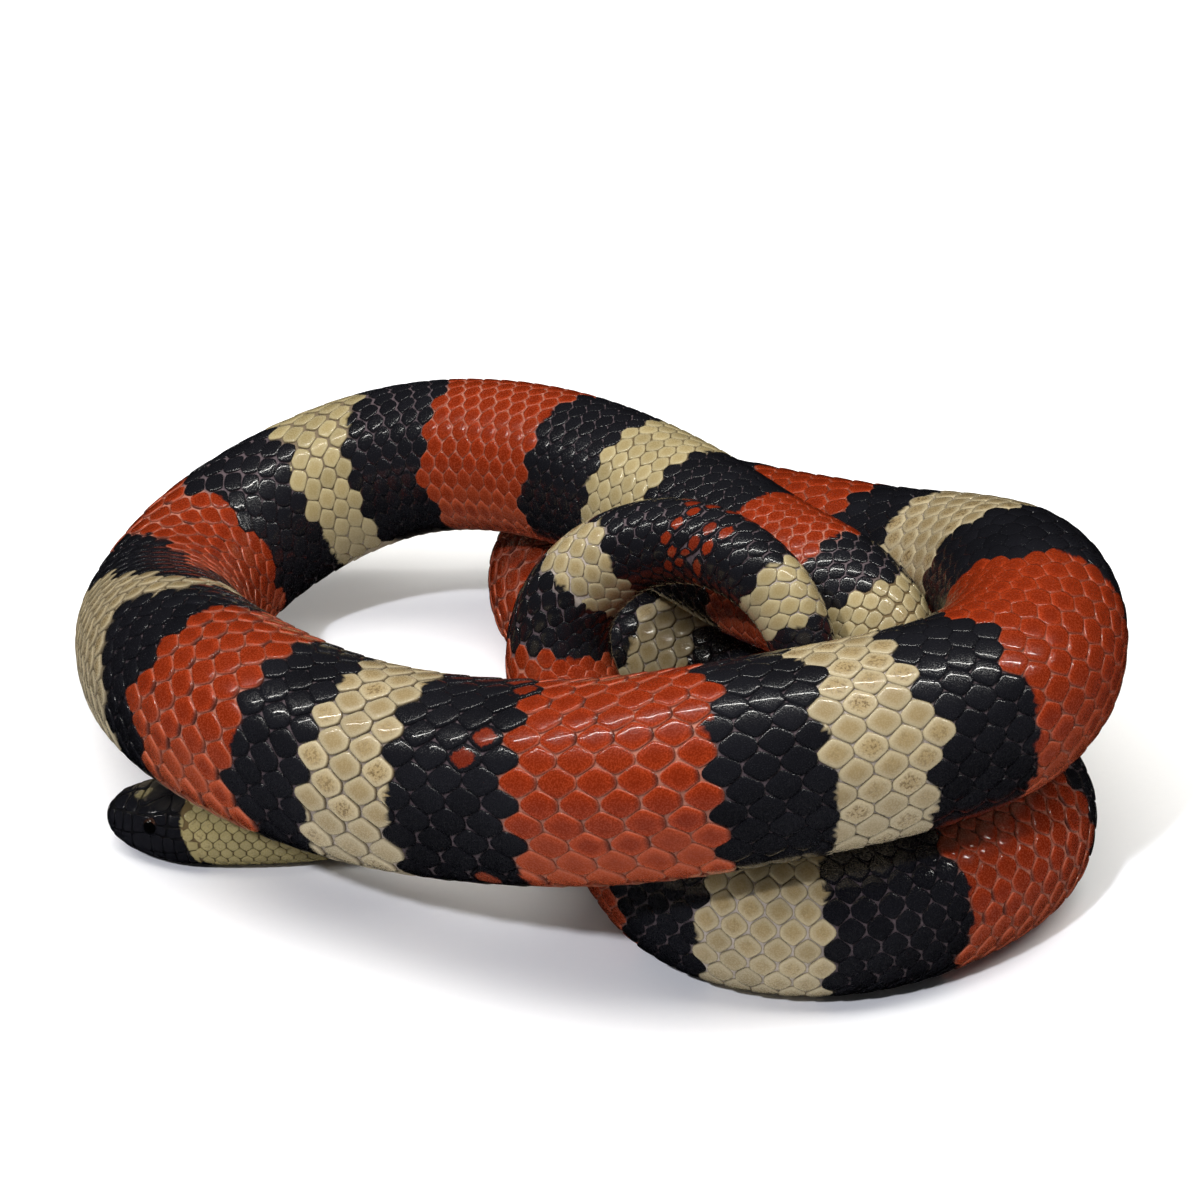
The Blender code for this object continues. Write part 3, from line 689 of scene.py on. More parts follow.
def skin_material():
    """Bare snake skin between the scales: soft, matt and finely folded, a paler tint of its ring's colour."""
    mat, tree, shader = new_material("bare_skin", Roughness=0.55, IOR=1.42)
    read = {}
    for key in ("pigment", "shade"):
        source = add_node(tree, "ShaderNodeAttribute", attribute_name=key)
        read[key] = add_node(tree, "ShaderNodeSeparateXYZ", {0: source.outputs["Vector"]}).outputs
    where = add_node(tree, "ShaderNodeTexCoord").outputs["Object"]
    # Folds of about 0.3 mm, with painted shade in their valleys
    folds = add_node(tree, "ShaderNodeTexNoise", {"Vector": where, "Scale": 3600.0, "Detail": 3.0}).outputs[0]
    paint = {}
    for key, shaded_valley, layers in (
            ("red", "8a4a38", ((folds, "b07a68"),)),
            ("black", "241f22", ((folds, "6a5c60"), (read["shade"][0], "08080a"))),
            ("cream", "8d8274", ((folds, "b3a89f"), (read["shade"][1], "5c4c30")))):
        paint[key] = hex_colour(shaded_valley)
        for amount, shade in layers:
            inputs = {0: amount, 6: paint[key], 7: hex_colour(shade)}
            paint[key] = add_node(tree, "ShaderNodeMix", inputs, data_type="RGBA").outputs[2]
    colour = paint["black"]
    for amount, over in ((read["pigment"][0], paint["red"]), (read["pigment"][2], paint["cream"])):
        colour = add_node(tree, "ShaderNodeMix", {0: amount, 6: colour, 7: over}, data_type="RGBA").outputs[2]
    tree.links.new(colour, shader.inputs["Base Color"])
    bump = add_node(tree, "ShaderNodeBump", {"Height": folds, "Strength": 0.4, "Distance": 0.0001})
    tree.links.new(bump.outputs[0], shader.inputs["Normal"])
    return mat


def eye_material():
    """Snake eye under its clear spectacle: round pupil, very dark brown iris and a wet mirror gloss."""
    mat, tree, shader = new_material(
        "wet_eye", Roughness=0.08, IOR=1.45, Coat_Weight=1.0, Coat_Roughness=0.02)
    place = add_node(tree, "ShaderNodeAttribute", attribute_name="place")
    spot = add_node(tree, "ShaderNodeSeparateXYZ", {0: place.outputs["Vector"]})
    where = add_node(tree, "ShaderNodeTexCoord").outputs["Object"]
    fleck = add_node(tree, "ShaderNodeTexNoise", {"Vector": where, "Scale": 6000.0, "Detail": 2.0}).outputs[0]
    flecks = {0: fleck, 6: hex_colour("1a0f0b"), 7: hex_colour("3a241a")}
    iris = add_node(tree, "ShaderNodeMix", flecks, data_type="RGBA").outputs[2]
    # From the pupil out: the iris, then the dark rim of the socket
    colour = hex_colour("030303")
    for low, high, over in ((0.30, 0.34, iris), (0.50, 0.56, hex_colour("060607"))):
        amount = add_node(tree, "ShaderNodeMapRange", {0: spot.outputs["Z"], 1: low, 2: high}).outputs[0]
        colour = add_node(tree, "ShaderNodeMix", {0: amount, 6: colour, 7: over}, data_type="RGBA").outputs[2]
    tree.links.new(colour, shader.inputs["Base Color"])
    return mat


def row_layout(body):
    """Middle and width of each row of back scales, as shares of half the girth, along the body."""
    s = np.arange(0.0, body["end"] + 2.0, 1.0)
    weight = np.ones((ROWS + 1, len(s)))
    # The two lowest rows on each side are wider
    weight[ROWS] = 1.35
    weight[ROWS - 1] = 1.15
    for row, stop in ROW_ENDS.items():
        weight[row] *= 1.0 - soft_step(s, stop - 4.0, stop + 3.0)
    outer = np.cumsum(weight, 0) - 0.5 * weight[0]
    total = outer[-1]
    span = BACK_SHARE + 0.04 * soft_step(s, 680.0, 720.0)
    middle = (outer - 0.5 * weight) / total * span
    middle[0] = 0.0
    return s, middle, weight / total * span, weight


def pitch_at(body, s):
    """Length of a scale along the middle line: its real length over the stretch of the side that shows."""
    return table(PITCH, s) / np.interp(s, body["rows"], body["facing"])


def tile_marks(body):
    """Running count of scales along the body, so that whole numbers are one scale's length apart."""
    s = np.linspace(0.0, body["end"] + 1.0, 4000)
    count = np.concatenate([[0.0], np.cumsum(np.diff(s) / pitch_at(body, 0.5 * (s[1:] + s[:-1])))])
    return s, count


def plates_end(t):
    """Distance from the snout where the head shields stop and small scales begin."""
    side = np.abs(t)
    return np.interp(side, [0.0, 0.1, 0.2, 0.27, 0.31, 0.45, 0.47, 0.62, 0.7],
                     [12.0, 11.9, 11.7, 11.3, 11.9, 12.1, 13.1, 13.2, 13.2])


def back_scale_seats(body):
    """Seats of all back scales: distance along, share round, length and width, staggered row by row."""
    marks, count = tile_marks(body)
    s_grid, middle, width, weight = row_layout(body)
    seats = []
    for row in range(-ROWS, ROWS + 1):
        r = abs(row)
        steps = np.arange(0.0, count[-1] - 1.0) + 0.5 * (r % 2)
        s = np.interp(steps, count, marks)
        t = np.sign(row) * np.interp(s, s_grid, middle[r])
        w = np.interp(s, s_grid, width[r])
        keep = (np.interp(s, s_grid, weight[r]) > 0.3) & (s < body["end"] - 0.6)
        keep &= s - 0.2 * table(PITCH, s) > plates_end(t)
        seats.append(np.stack([s, t, pitch_at(body, s), w], 1)[keep])
    return np.vstack(seats)


def scale_shells(body, seats, turns, depth, draw):
    """Low-domed scales on the seats, all at once, as points, faces and their data.

    The outline is a rounded hexagon: the reach at each turn is the inverse power sum of the end cuts, the
    slanting sides and the cut top. Rings step from under the skin to the rim, the shoulder and the crown, and
    the free end stands higher than the root.
    """
    s, t, length, width = seats.T
    c, d = np.cos(turns), np.sin(turns)
    # The free end, where the cosine is positive, is longer and more pointed than the root
    taper = np.where(c > 0, 0.66, 0.80)
    ends = np.where(c > 0, 1.04, 0.98)
    side_cut, power = 0.92, 12
    reach = (np.abs(c) / ends) ** power + (np.abs(d) + taper * np.abs(c)) ** power
    reach = (reach + (np.abs(d) / side_cut) ** power) ** (-1 / power)
    x, y = reach * c, reach * d
    # Rings as shares of the outline, and their lift and the crown's as shares of the relief
    share = np.array([1.0, 1.0, 0.93, 0.76, 0.40])
    lift = np.array([-1.3, -0.38, 0.02, 0.22, 0.36])
    crown_lift = 0.40
    n, k, rings = len(s), len(turns), len(share)
    relief = depth * np.clip(table(PITCH, s) / FULL_SCALE, 0.40, 1.0)
    # Scales grow where the bend stretches the side that they are on, and shrink where it is pressed together
    row_at = np.interp(s, body["rows"], np.arange(len(body["rows"]))).astype(int)
    column = np.mod(t + table(ROLL, s) + 1.0, 2.0) * (COLUMNS - 1) / 2.0
    stretch = body["stretch"][row_at, np.clip(column.astype(int), 0, COLUMNS - 1)]
    fit = np.clip(body["facing"][row_at] / stretch, 0.85, 1.25) ** 0.6
    gap = table(SCALE_FIT, s)
    half_long = 0.5 * length * fit * (gap + 0.01) * draw.uniform(0.98, 1.02, n)
    half_wide = SCALE_REACH * width * gap * draw.uniform(0.98, 1.02, n)
    slope = 0.38 + 0.8 * np.clip(fit - 1.0, 0.0, 0.3)
    turn = draw.normal(0.0, 0.03, n)[:, None, None]
    ring_x = share[None, :, None] * x + 0 * turn
    ring_y = share[None, :, None] * y + turn * ring_x
    rise = relief[:, None, None] * (lift[None, :, None] + slope[:, None, None] * ring_x)
    rise[:, 0] = relief[:, None] * lift[0]
    along = s[:, None, None] + half_long[:, None, None] * ring_x
    points = on_body(body, along, t[:, None, None] + half_wide[:, None, None] * ring_y, rise)
    points[..., 2] = np.maximum(points[..., 2], 0.0)
    crown = on_body(body, s, t, relief * crown_lift)
    verts = np.concatenate([points.reshape(n, rings * k, 3), crown[:, None]], 1)
    size = rings * k + 1
    base = (np.arange(n) * size)[:, None, None]
    quads = (grid_faces(rings, k, closed=True)[None] + base).reshape(-1, 4)
    fans = (fan_faces((rings - 1) * k, k, rings * k)[None] + base).reshape(-1, 3)
    under = np.arange(k)[::-1][None] + base[:, 0]
    place = np.zeros((n, size, 3))
    place[:, :-1, 0] = ring_x.reshape(n, -1)
    place[:, :-1, 1] = ring_y.reshape(n, -1)
    place[:, :-1, 2] = np.repeat(share, k)
    uv = unwrap(s, t)[:, None] + place[..., :2] * 0.0016
    spots = np.concatenate([along.reshape(n, -1), s[:, None]], 1)
    return verts.reshape(-1, 3), [quads, fans, under], place.reshape(-1, 3), uv.reshape(-1, 2), spots


def scale_data(seats, spots, verts, draw):
    """Colour and character of every point of the scales.

    Each scale takes the ring colour at its middle, and a share of them are coloured point by point instead,
    which splits those on a ring's edge. Traits are chance, red blotching and how far down the flank; tint is
    olive, specks and dark rims, the dark rims partly painted shade under the free edge.
    """
    s, t, length = seats[:, :3].T
    n, size = spots.shape
    wander = draw.normal(0.0, 0.14, n) * length
    colour = np.repeat(pigment_at(s + wander, t)[:, None], size, 1)
    ragged = 0.45 * surface_noise(verts, 2.4, 8).reshape(n, size)
    by_point = pigment_at(spots + ragged, t[:, None])
    split = (draw.random(n) < 0.28)[:, None]
    colour = np.where(split, by_point, colour)
    near = 1.1 * length
    near_red = (pigment_at(s + near, t) == RED) | (pigment_at(s - near, t) == RED)
    chance = np.where((s > RED_HEARTS[0]) & (s < RED_HEARTS[1]), 0.42, 0.015)
    hearted = (colour[:, -1] == BLACK) & near_red & (draw.random(n) < chance)
    blotch = np.where(hearted, draw.uniform(0.6, 1.0, n), 0.0)
    patched = (s > TAIL_PATCH[0]) & (s < TAIL_PATCH[1]) & (draw.random(n) < 0.6)
    blotch = np.where(patched, draw.uniform(0.7, 1.0, n), blotch)
    flank = soft_step(np.abs(t), 0.40, 0.74)
    traits = np.stack([draw.random(n), blotch, flank], 1)
    # The dark rim, partly painted shade under the free edge, is weaker down the flank
    tint = np.stack([table(OLIVE, s), table(SPECKS, s), table(DARK_RIM, s) * (1.0 - 0.6 * flank)], 1)
    return {"pigment": weights_of(colour).reshape(-1, 3), "traits": np.repeat(traits, size, 0),
            "tint": np.repeat(tint, size, 0)}


def skin_points(body, s, t, depth):
    """Points of the skin: the outline drawn in by the coat's depth, with bell-shaped grooves and pits.

    The depth shrinks with the scales, and the mouth line and the nostrils are each a hollow that fades as the
    bell curve of the distance from it.
    """
    inset = depth * np.clip(table(PITCH, s) / FULL_SCALE, 0.5, 1.0)
    inset = np.where(s < 16.0, np.interp(s, [0.0, 11.0, 16.0], [0.10, 0.11, 0.5 * depth]), inset)
    inset = np.minimum(inset, 0.3 * half_sizes(s, body["end"])[1])
    lower = (np.abs(t) > 0.45) & (s < MOUTH_END)
    height = on_body(body, s, t, -inset)[..., 2] - smooth_table(MOUTH_LINE, s, 1)
    groove = 0.34 * np.exp(-(height / 0.22) ** 2) * lower * soft_step(-s, -MOUTH_END, -12.6)
    gap_s = s - NOSTRIL[0]
    gap_t = (np.abs(t) - NOSTRIL[1]) * half_girth(body, NOSTRIL[0])
    pit = 0.55 * np.exp(-(gap_s ** 2 + gap_t ** 2) / 0.34 ** 2)
    points = on_body(body, s, t, -inset - groove - pit)
    points[..., 2] = np.maximum(points[..., 2], 0.0)
    return points


class SNAKE_OT_skin(bpy.types.Operator):
    """One closed skin from the snout to the tail's tip, a little inside the body's outline"""
    bl_idname = "snake.skin"
    bl_label = "Skin"

    def execute(self, context):
        body = BODY
        end = body["end"]
        # Fine rows on the head and at the tail's tip, wider ones between
        s = np.concatenate([
            [0.02, 0.08, 0.18, 0.32, 0.5, 0.72], np.arange(1.0, 22.0, 0.3),
            np.arange(22.0, end - 4.0, 1.15), np.linspace(end - 3.6, end + TIP_LENGTH - 0.02, 10)])
        columns = 96
        t = np.linspace(-1.0, 1.0, columns, endpoint=False)
        S, T = np.meshgrid(s, t, indexing="ij")
        points = skin_points(body, S, T, context.scene.snake_look.coat_depth / MM)
        nose = on_body(body, 0.0, 0.0, -0.1)
        tip = on_body(body, end + TIP_LENGTH, 0.0, -0.02)
        verts = np.vstack([points.reshape(-1, 3), nose, tip])
        quads = grid_faces(len(s), columns, closed=True)
        start = len(s) * columns
        caps = np.concatenate([fan_faces(0, columns, start)[:, ::-1],
                               np.roll(fan_faces(start - columns, columns, start + 1), 1, 1)])

        # Both ends are black
        along = np.append(S.ravel(), [0.0, end])
        round_ = np.append(T.ravel(), [0.0, 0.0])
        pigment = np.append(pigment_at(S, T).ravel(), [BLACK, BLACK])
        weights = belly_fade(weights_of(pigment), along, round_)
        flank = 0.7 * soft_step(np.abs(round_), 0.4, 0.6) * soft_step(along, 40.0, 120.0)
        ochre = table(OCHRE_SKIN, along) * (1.0 - flank)
        shade = np.stack([1.0 - soft_step(along, 11.0, 16.0), ochre, 0 * along], 1)

        # Flat map, corner by corner, because its strips part within the mesh
        step = 2.0 / columns
        i, j = quads[:, 0] // columns, quads[:, 0] % columns
        strip = np.floor(s[i] / STRIP_LENGTH)
        left, right = t[j], t[j] + step
        quad_uv = [unwrap(row, side, strip) for row, side in (
            (s[i], left), (s[i], right), (s[i + 1], right), (s[i + 1], left))]
        nose_uv = [unwrap(row, side) for row, side in ((0.0, 0 * t), (0.02, t + step), (0.02, t))]
        tip_uv = [unwrap(row, side) for row, side in ((end, 0 * t), (end - 0.1, t), (end - 0.1, t + step))]
        corner_uv = np.concatenate([np.stack(part, 1).reshape(-1, 2) for part in (quad_uv, nose_uv, tip_uv)])
        data = {"pigment": weights, "shade": shade}
        skin = mesh_piece("skin", verts, [quads, caps], [skin_material()], data, corner_uv=corner_uv)
        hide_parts(*FLESH)
        return {"FINISHED"}


def belly_fade(weights, s, t):
    """Rings fade to cream under the body: red wholly, black in patches."""
    under = soft_step(np.abs(t), 0.77, 0.88)
    tail = soft_step(s, 740.0, 755.0)
    head = 1.0 - soft_step(s, 11.0, 13.0)
    patch = 0.45 + 0.35 * np.sin(s * 0.9) * np.sin(s * 0.37 + 1.0)
    keep = np.where(weights[:, BLACK] > 0.5, np.maximum(patch, np.maximum(tail, head)), 0.25)
    fade = (under * (1.0 - keep))[:, None]
    return weights * (1.0 - fade) + np.array([0.0, 0.0, 1.0]) * fade


class SNAKE_OT_back_scales(bpy.types.Operator):
    """Domed, overlapping scales in staggered rows over the back and flanks"""
    bl_idname = "snake.back_scales"
    bl_label = "Back scales"

    def execute(self, context):
        look = context.scene.snake_look
        body = BODY
        seats = back_scale_seats(body)
        draw = np.random.default_rng(4)
        mat = coat_material("scale_keratin", look, 0.24, 0.7)
        for name, low, high, turns in COAT_LENGTHS:
            use = seats[(seats[:, 0] >= low) & (seats[:, 0] < high)]
            verts, faces, place, uv, spots = scale_shells(body, use, turns, look.relief / MM, draw)
            data = {"place": place, **scale_data(use, spots, verts, draw)}
            piece = mesh_piece(name, verts, faces, [mat], data, point_uv=uv)
        return {"FINISHED"}


def scute_strips(body, s, length, low, high, columns):
    """Belly scutes: for each, one closed profile along the body carried across from low to high.

    The profile starts under the skin, runs flat and turns down at a free hind edge, which overlaps the next.
    """
    x = np.array([-0.52, -0.50, -0.30, 0.25, 0.52, 0.575, 0.58, 0.0])
    lift = np.array([-0.34, -0.18, -0.08, -0.02, 0.03, 0.0, -0.20, -0.42])
    across = np.linspace(low, high, columns)
    share = np.linspace(-1.0, 1.0, columns)
    n, m = len(s), len(x)
    bow = 0.10 * (1.0 - share ** 2)
    S = s[:, None, None] + length[:, None, None] * (x + bow[:, None])
    T = 1.0 + across[:, None] + 0 * S
    rise = lift * np.clip(length / 3.0, 0.5, 1.0)[:, None, None] + 0 * S
    points = on_body(body, S, T, rise)
    points[..., 2] = np.maximum(points[..., 2], 0.0)
    base = (np.arange(n) * columns * m)[:, None, None]
    quads = (grid_faces(columns, m, closed=True)[None] + base).reshape(-1, 4)
    first = np.arange(m)[None] + base[:, 0]
    last = first[:, ::-1] + (columns - 1) * m
    place = np.zeros((n, columns, m, 3))
    place[..., 0] = x * 1.6
    place[..., 1] = share[:, None]
    place[..., 2] = np.where(x > 0.5, 1.0, 0.4)
    # On the flat map a scute stays on one side of the belly's middle
    side = np.where(T > 1.0, T - 2.0, T) if low > 0.0 else np.minimum(T, 1.0)
    uv = unwrap(s[:, None, None] + 0.9 * length[:, None, None] * x, side)
    return (points.reshape(-1, 3), [quads, first, last], place.reshape(-1, 3), uv.reshape(-1, 2), S.ravel(),
            T.ravel())


class SNAKE_OT_belly_scutes(bpy.types.Operator):
    """Broad scutes across the belly, one for each row of back scales, in pairs under the tail"""
    bl_idname = "snake.belly_scutes"
    bl_label = "Belly scutes"

    def execute(self, context):
        body = BODY
        marks, count = tile_marks(body)
        s = np.interp(np.arange(1.0, count[-1] - 1.0), count, marks)
        s = s[(s > 17.0) & (s < body["end"] - 2.0)]
        length = pitch_at(body, s)
        tail = s >= TAIL_START
        edge = 1.0 - BACK_SHARE + 0.012
        tail_edge, middle = edge - 0.04, 0.004
        points, faces, place, uv, along, round_ = joined([
            scute_strips(body, s[~tail], length[~tail], -edge, edge, 17),
            scute_strips(body, s[tail], length[tail], -tail_edge, -middle, 8),
            scute_strips(body, s[tail] + 0.5, length[tail], middle, tail_edge, 8)])
        turned = np.where(round_ > 1.0, round_ - 2.0, round_)
        weights = belly_fade(weights_of(pigment_at(along, turned)), along, turned)
        traits = np.stack([0.45 + 0.2 * np.sin(along * 2.3), 0 * along, 1.0 + 0 * along], 1)
        data = {"pigment": weights, "place": place, "traits": traits, "tint": 0 * traits}
        mat = coat_material("belly_keratin", context.scene.snake_look, 0.36, 0.1)
        piece = mesh_piece("belly_scutes", points, faces, [mat], data, point_uv=uv)
        return {"FINISHED"}


def rounded_outline(corners, count, inset):
    """Evenly spaced points on a polygon whose corners are cut round, moved inwards by inset."""
    p = np.asarray(corners, float)
    area = 0.5 * np.sum(p[:, 0] * np.roll(p[:, 1], -1) - np.roll(p[:, 0], -1) * p[:, 1])
    if area < 0.0:
        p = p[::-1]
    for near in (0.86, 0.75):
        after = np.roll(p, -1, 0)
        p = np.stack([near * p + (1.0 - near) * after, (1.0 - near) * p + near * after], 1).reshape(-1, 2)
    loop = np.vstack([p, p[:1]])
    along = arc_lengths(loop)
    wanted = np.linspace(0.0, along[-1], count, endpoint=False)
    q = np.stack([np.interp(wanted, along, loop[:, k]) for k in range(2)], 1)
    way = np.roll(q, -1, 0) - np.roll(q, 1, 0)
    way /= np.linalg.norm(way, axis=1)[:, None] + 1e-9
    return q + inset * np.stack([-way[:, 1], way[:, 0]], 1)


class SNAKE_OT_head_shields(bpy.types.Operator):
    """Large shields of the head, lips and chin, the eye's rim and the small throat scales"""
    bl_idname = "snake.head_shields"
    bl_label = "Head shields"

    def execute(self, context):
        body = BODY
        draw = np.random.default_rng(21)
        parts = []
        for name, corners, both in head_plan(body):
            for side in ((1.0, -1.0) if both else (1.0,)):
                parts.append(head_shield(body, np.array(corners), side, name))
        parts += [eye_rim(body, side) for side in (1.0, -1.0)]
        verts, faces, place, seat = joined(parts)
        tone = 0.5 + 0.3 * surface_noise(verts, 6.0, 3)
        none = 0 * tone
        traits = np.stack([tone, none, none], 1)
        tint = np.stack([1.0 + none, 0.5 + none, none], 1)
        data = {"pigment": head_pigment(seat, verts), "place": place, "traits": traits, "tint": tint}
        mat = coat_material("head_keratin", context.scene.snake_look, 0.17, 0.8)
        piece = mesh_piece("head_shields", verts, faces, [mat], data, point_uv=unwrap(*seat.T))

        throat = throat_seats()
        verts, faces, place, uv, spots = scale_shells(body, throat, SMALL_TURNS, 0.2, draw)
        data = {"place": place, **scale_data(throat, spots, verts, draw)}
        chin = mesh_piece("scales_throat", verts, faces, [mat], data, point_uv=uv)
        return {"FINISHED"}


def throat_seats():
    """Seats of the small scales between the chin shields and the first belly scutes, in staggered rows."""
    length, width = 1.6, 0.056
    row, s = np.meshgrid(np.arange(-5, 6), np.arange(7.2, 18.0, 1.55), indexing="ij")
    s = s + 0.78 * (row % 2)
    across = row * width
    keep = np.abs(across) <= np.interp(s, [7.0, 13.0, 14.5], [0.10, 0.20, 0.30])
    keep &= (s >= 9.6) | (np.abs(across) >= 0.12)
    keep &= s <= 17.2 - 0.5 * (row % 2)
    t = np.where(across <= 0.0, 1.0 + across, across - 1.0)
    return np.stack([s, t, length + 0 * s, width + 0 * s], -1)[keep]


def head_plan(body):
    """Shields by name: corners as distance from the snout and share round, and whether both sides have one.

    The rostral's corners are flat places round the snout's tip instead, across and up.
    """
    s = np.array([0.45, 1.0, 1.75, 3.2, 5.0, 7.9, 9.5, 11.0, 12.4, 13.7])
    lip = share_at_height(body, s, smooth_table(MOUTH_LINE, s, 1) + 0.05)
    jaw = share_at_height(body, s, smooth_table(MOUTH_LINE, s, 1) - 0.07)
    up = table([(0.0, 0.55), (1.75, 0.52), (3.2, 0.495), (5.0, 0.47), (7.9, 0.435), (9.5, 0.445),
                (11.0, 0.45), (12.4, 0.452), (13.7, 0.46)], s)
    down = table([(0.0, 0.80), (1.75, 0.80), (5.0, 0.77), (9.0, 0.75), (13.7, 0.70)], s)
    plan = [
        ("internasal", [
            (1.55, 0.02), (1.35, 0.17), (1.95, 0.262), (3.35, 0.272), (3.45, 0.15), (3.5, 0.012)], True),
        ("prefrontal", [
            (3.6, 0.012), (3.55, 0.15), (3.5, 0.278), (4.9, 0.29), (5.45, 0.272), (5.3, 0.14),
            (5.35, 0.012)], True),
        ("frontal", [
            (5.5, -0.235), (5.4, -0.12), (5.45, 0.0), (5.4, 0.12), (5.5, 0.235), (6.45, 0.212),
            (7.6, 0.144), (8.9, 0.092), (9.5, 0.06), (10.5, 0.0), (9.5, -0.06), (8.9, -0.092),
            (7.6, -0.144), (6.45, -0.212)], False),
        ("supraocular", [
            (5.65, 0.262), (6.5, 0.228), (7.65, 0.158), (8.95, 0.106), (9.4, 0.10), (9.75, 0.17),
            (9.7, 0.24), (8.9, 0.28), (7.8, 0.305), (6.6, 0.306), (5.7, 0.30)], True),
        ("parietal", [
            (10.55, 0.012), (9.6, 0.068), (9.5, 0.098), (9.85, 0.175), (9.85, 0.25), (10.5, 0.276),
            (11.2, 0.25), (11.6, 0.16), (12.0, 0.08), (12.1, 0.012)], True),
        ("prenasal", [
            (1.0, 0.27), (1.95, 0.27), (2.06, 0.36), (2.06, 0.515), (1.75, 0.52), (1.05, 0.50)], True),
        ("postnasal", [
            (2.06, 0.275), (3.4, 0.285), (3.5, 0.38), (3.45, 0.482), (2.14, 0.512), (2.14, 0.36)], True),
        ("loreal", [(3.55, 0.29), (4.85, 0.30), (5.0, 0.38), (4.95, 0.462), (3.58, 0.482)], True),
        ("preocular", [
            (5.0, 0.305), (6.3, 0.315), (7.8, 0.318), (7.8, 0.37), (7.6, 0.43), (6.4, 0.448),
            (5.1, 0.462)], True),
        ("upper_postocular", [
            (7.9, 0.312), (9.0, 0.29), (9.75, 0.262), (9.95, 0.32), (9.9, 0.365), (8.6, 0.37)], True),
        ("lower_postocular", [
            (8.6, 0.376), (9.95, 0.372), (10.0, 0.44), (9.4, 0.438), (7.9, 0.428), (8.2, 0.40)], True),
        ("upper_temporal", [
            (9.95, 0.27), (10.5, 0.286), (11.3, 0.262), (12.0, 0.31), (12.1, 0.365), (10.05, 0.365)], True),
        ("lower_temporal", [(10.05, 0.372), (12.1, 0.372), (12.3, 0.44), (10.1, 0.443)], True),
    ]
    mid_s, mid_up, mid_lip, mid_jaw = [0.5 * (edge[:-1] + edge[1:]) for edge in (s, up, lip, jaw)]
    for k in range(2, len(s) - 1):
        m = k + 1
        plan.append(("upper_lip", [
            (s[k], lip[k]), (s[k], up[k]), (mid_s[k], mid_up[k]), (s[m], up[m]), (s[m], lip[m]),
            (mid_s[k], mid_lip[k])], True))
        plan.append(("lower_lip", [
            (s[k], jaw[k]), (mid_s[k], mid_jaw[k]), (s[m], jaw[m]), (s[m], down[m]), (s[k], down[k])], True))
    plan += [
        ("chin", [(2.2, 0.81), (5.2, 0.79), (5.6, 0.90), (5.4, 0.995), (2.6, 0.995)], True),
        ("hind_chin", [
            (5.4, 0.80), (8.6, 0.82), (9.3, 0.90), (8.6, 0.975), (5.7, 0.995), (5.7, 0.92)], True),
        ("first_lower_lip", [
            (0.9, 0.78), (1.7, 0.70), (1.7, 0.80), (2.1, 0.82), (2.1, 0.995), (1.0, 0.995)], True),
        ("rostral", [
            (-1.15, -1.75), (-1.9, -1.5), (-1.75, 0.2), (-1.0, 1.5), (0.0, 1.95), (1.0, 1.5), (1.75, 0.2),
            (1.9, -1.5), (1.15, -1.75), (0.0, -1.5)], False),
    ]
    return plan


def head_shield(body, corners, side, name):
    """Rounded shield: rings of its outline drawn in to the middle, from under the skin to a flat crown."""
    disc = name == "rostral"
    scale = 1.0 if disc else half_girth(body, max(float(corners[:, 0].mean()), 1.2))
    count = 36 if name in ("frontal", "parietal", "supraocular", "rostral") else 26
    outline = rounded_outline(corners * [1.0, scale], count, 0.035)
    # Points too near the eye or the nostril are pushed out to its rim
    for spot, keep_out in () if disc else ((EYE_SPOT, 1.0), (NOSTRIL, 0.30)):
        centre = np.array([spot[0], spot[1] * scale])
        away = outline - centre
        far = np.linalg.norm(away, axis=1)[:, None]
        outline = np.where(far < keep_out, centre + away / (far + 1e-9) * keep_out, outline)
    middle = outline.mean(0)
    share = np.array([1.0, 1.0, 0.94, 0.84, 0.62, 0.36])
    lift = np.array([-0.22, -0.075, -0.012, 0.014, 0.024, 0.028])
    crown_lift = 0.03
    n = len(share)
    rings = middle + share[:, None, None] * (outline - middle)
    flat = np.vstack([rings.reshape(-1, 2), middle])
    rise = np.append(np.repeat(lift, count), crown_lift)
    if disc:
        s = np.interp(np.linalg.norm(flat, axis=1), body["reach"], body["rows"])
        t = np.arctan2(flat[:, 0], flat[:, 1]) / np.pi
    else:
        s = flat[:, 0]
        t = flat[:, 1] / scale * side
    points = on_body(body, s, t, rise)
    around = np.arange(count)
    under = np.stack([0 * around[2:], around[2:], around[1:-1]], 1)
    quads = grid_faces(n, count, closed=True)
    tris = np.vstack([fan_faces((n - 1) * count, count, n * count), under])
    if side < 0.0 or disc:
        quads, tris = quads[:, ::-1], tris[:, ::-1]
    place = np.zeros((len(flat), 3))
    place[:, 2] = np.append(np.repeat(share, count), 0.0) * 0.5
    return points, [quads, tris], place, np.stack([s, t], 1)


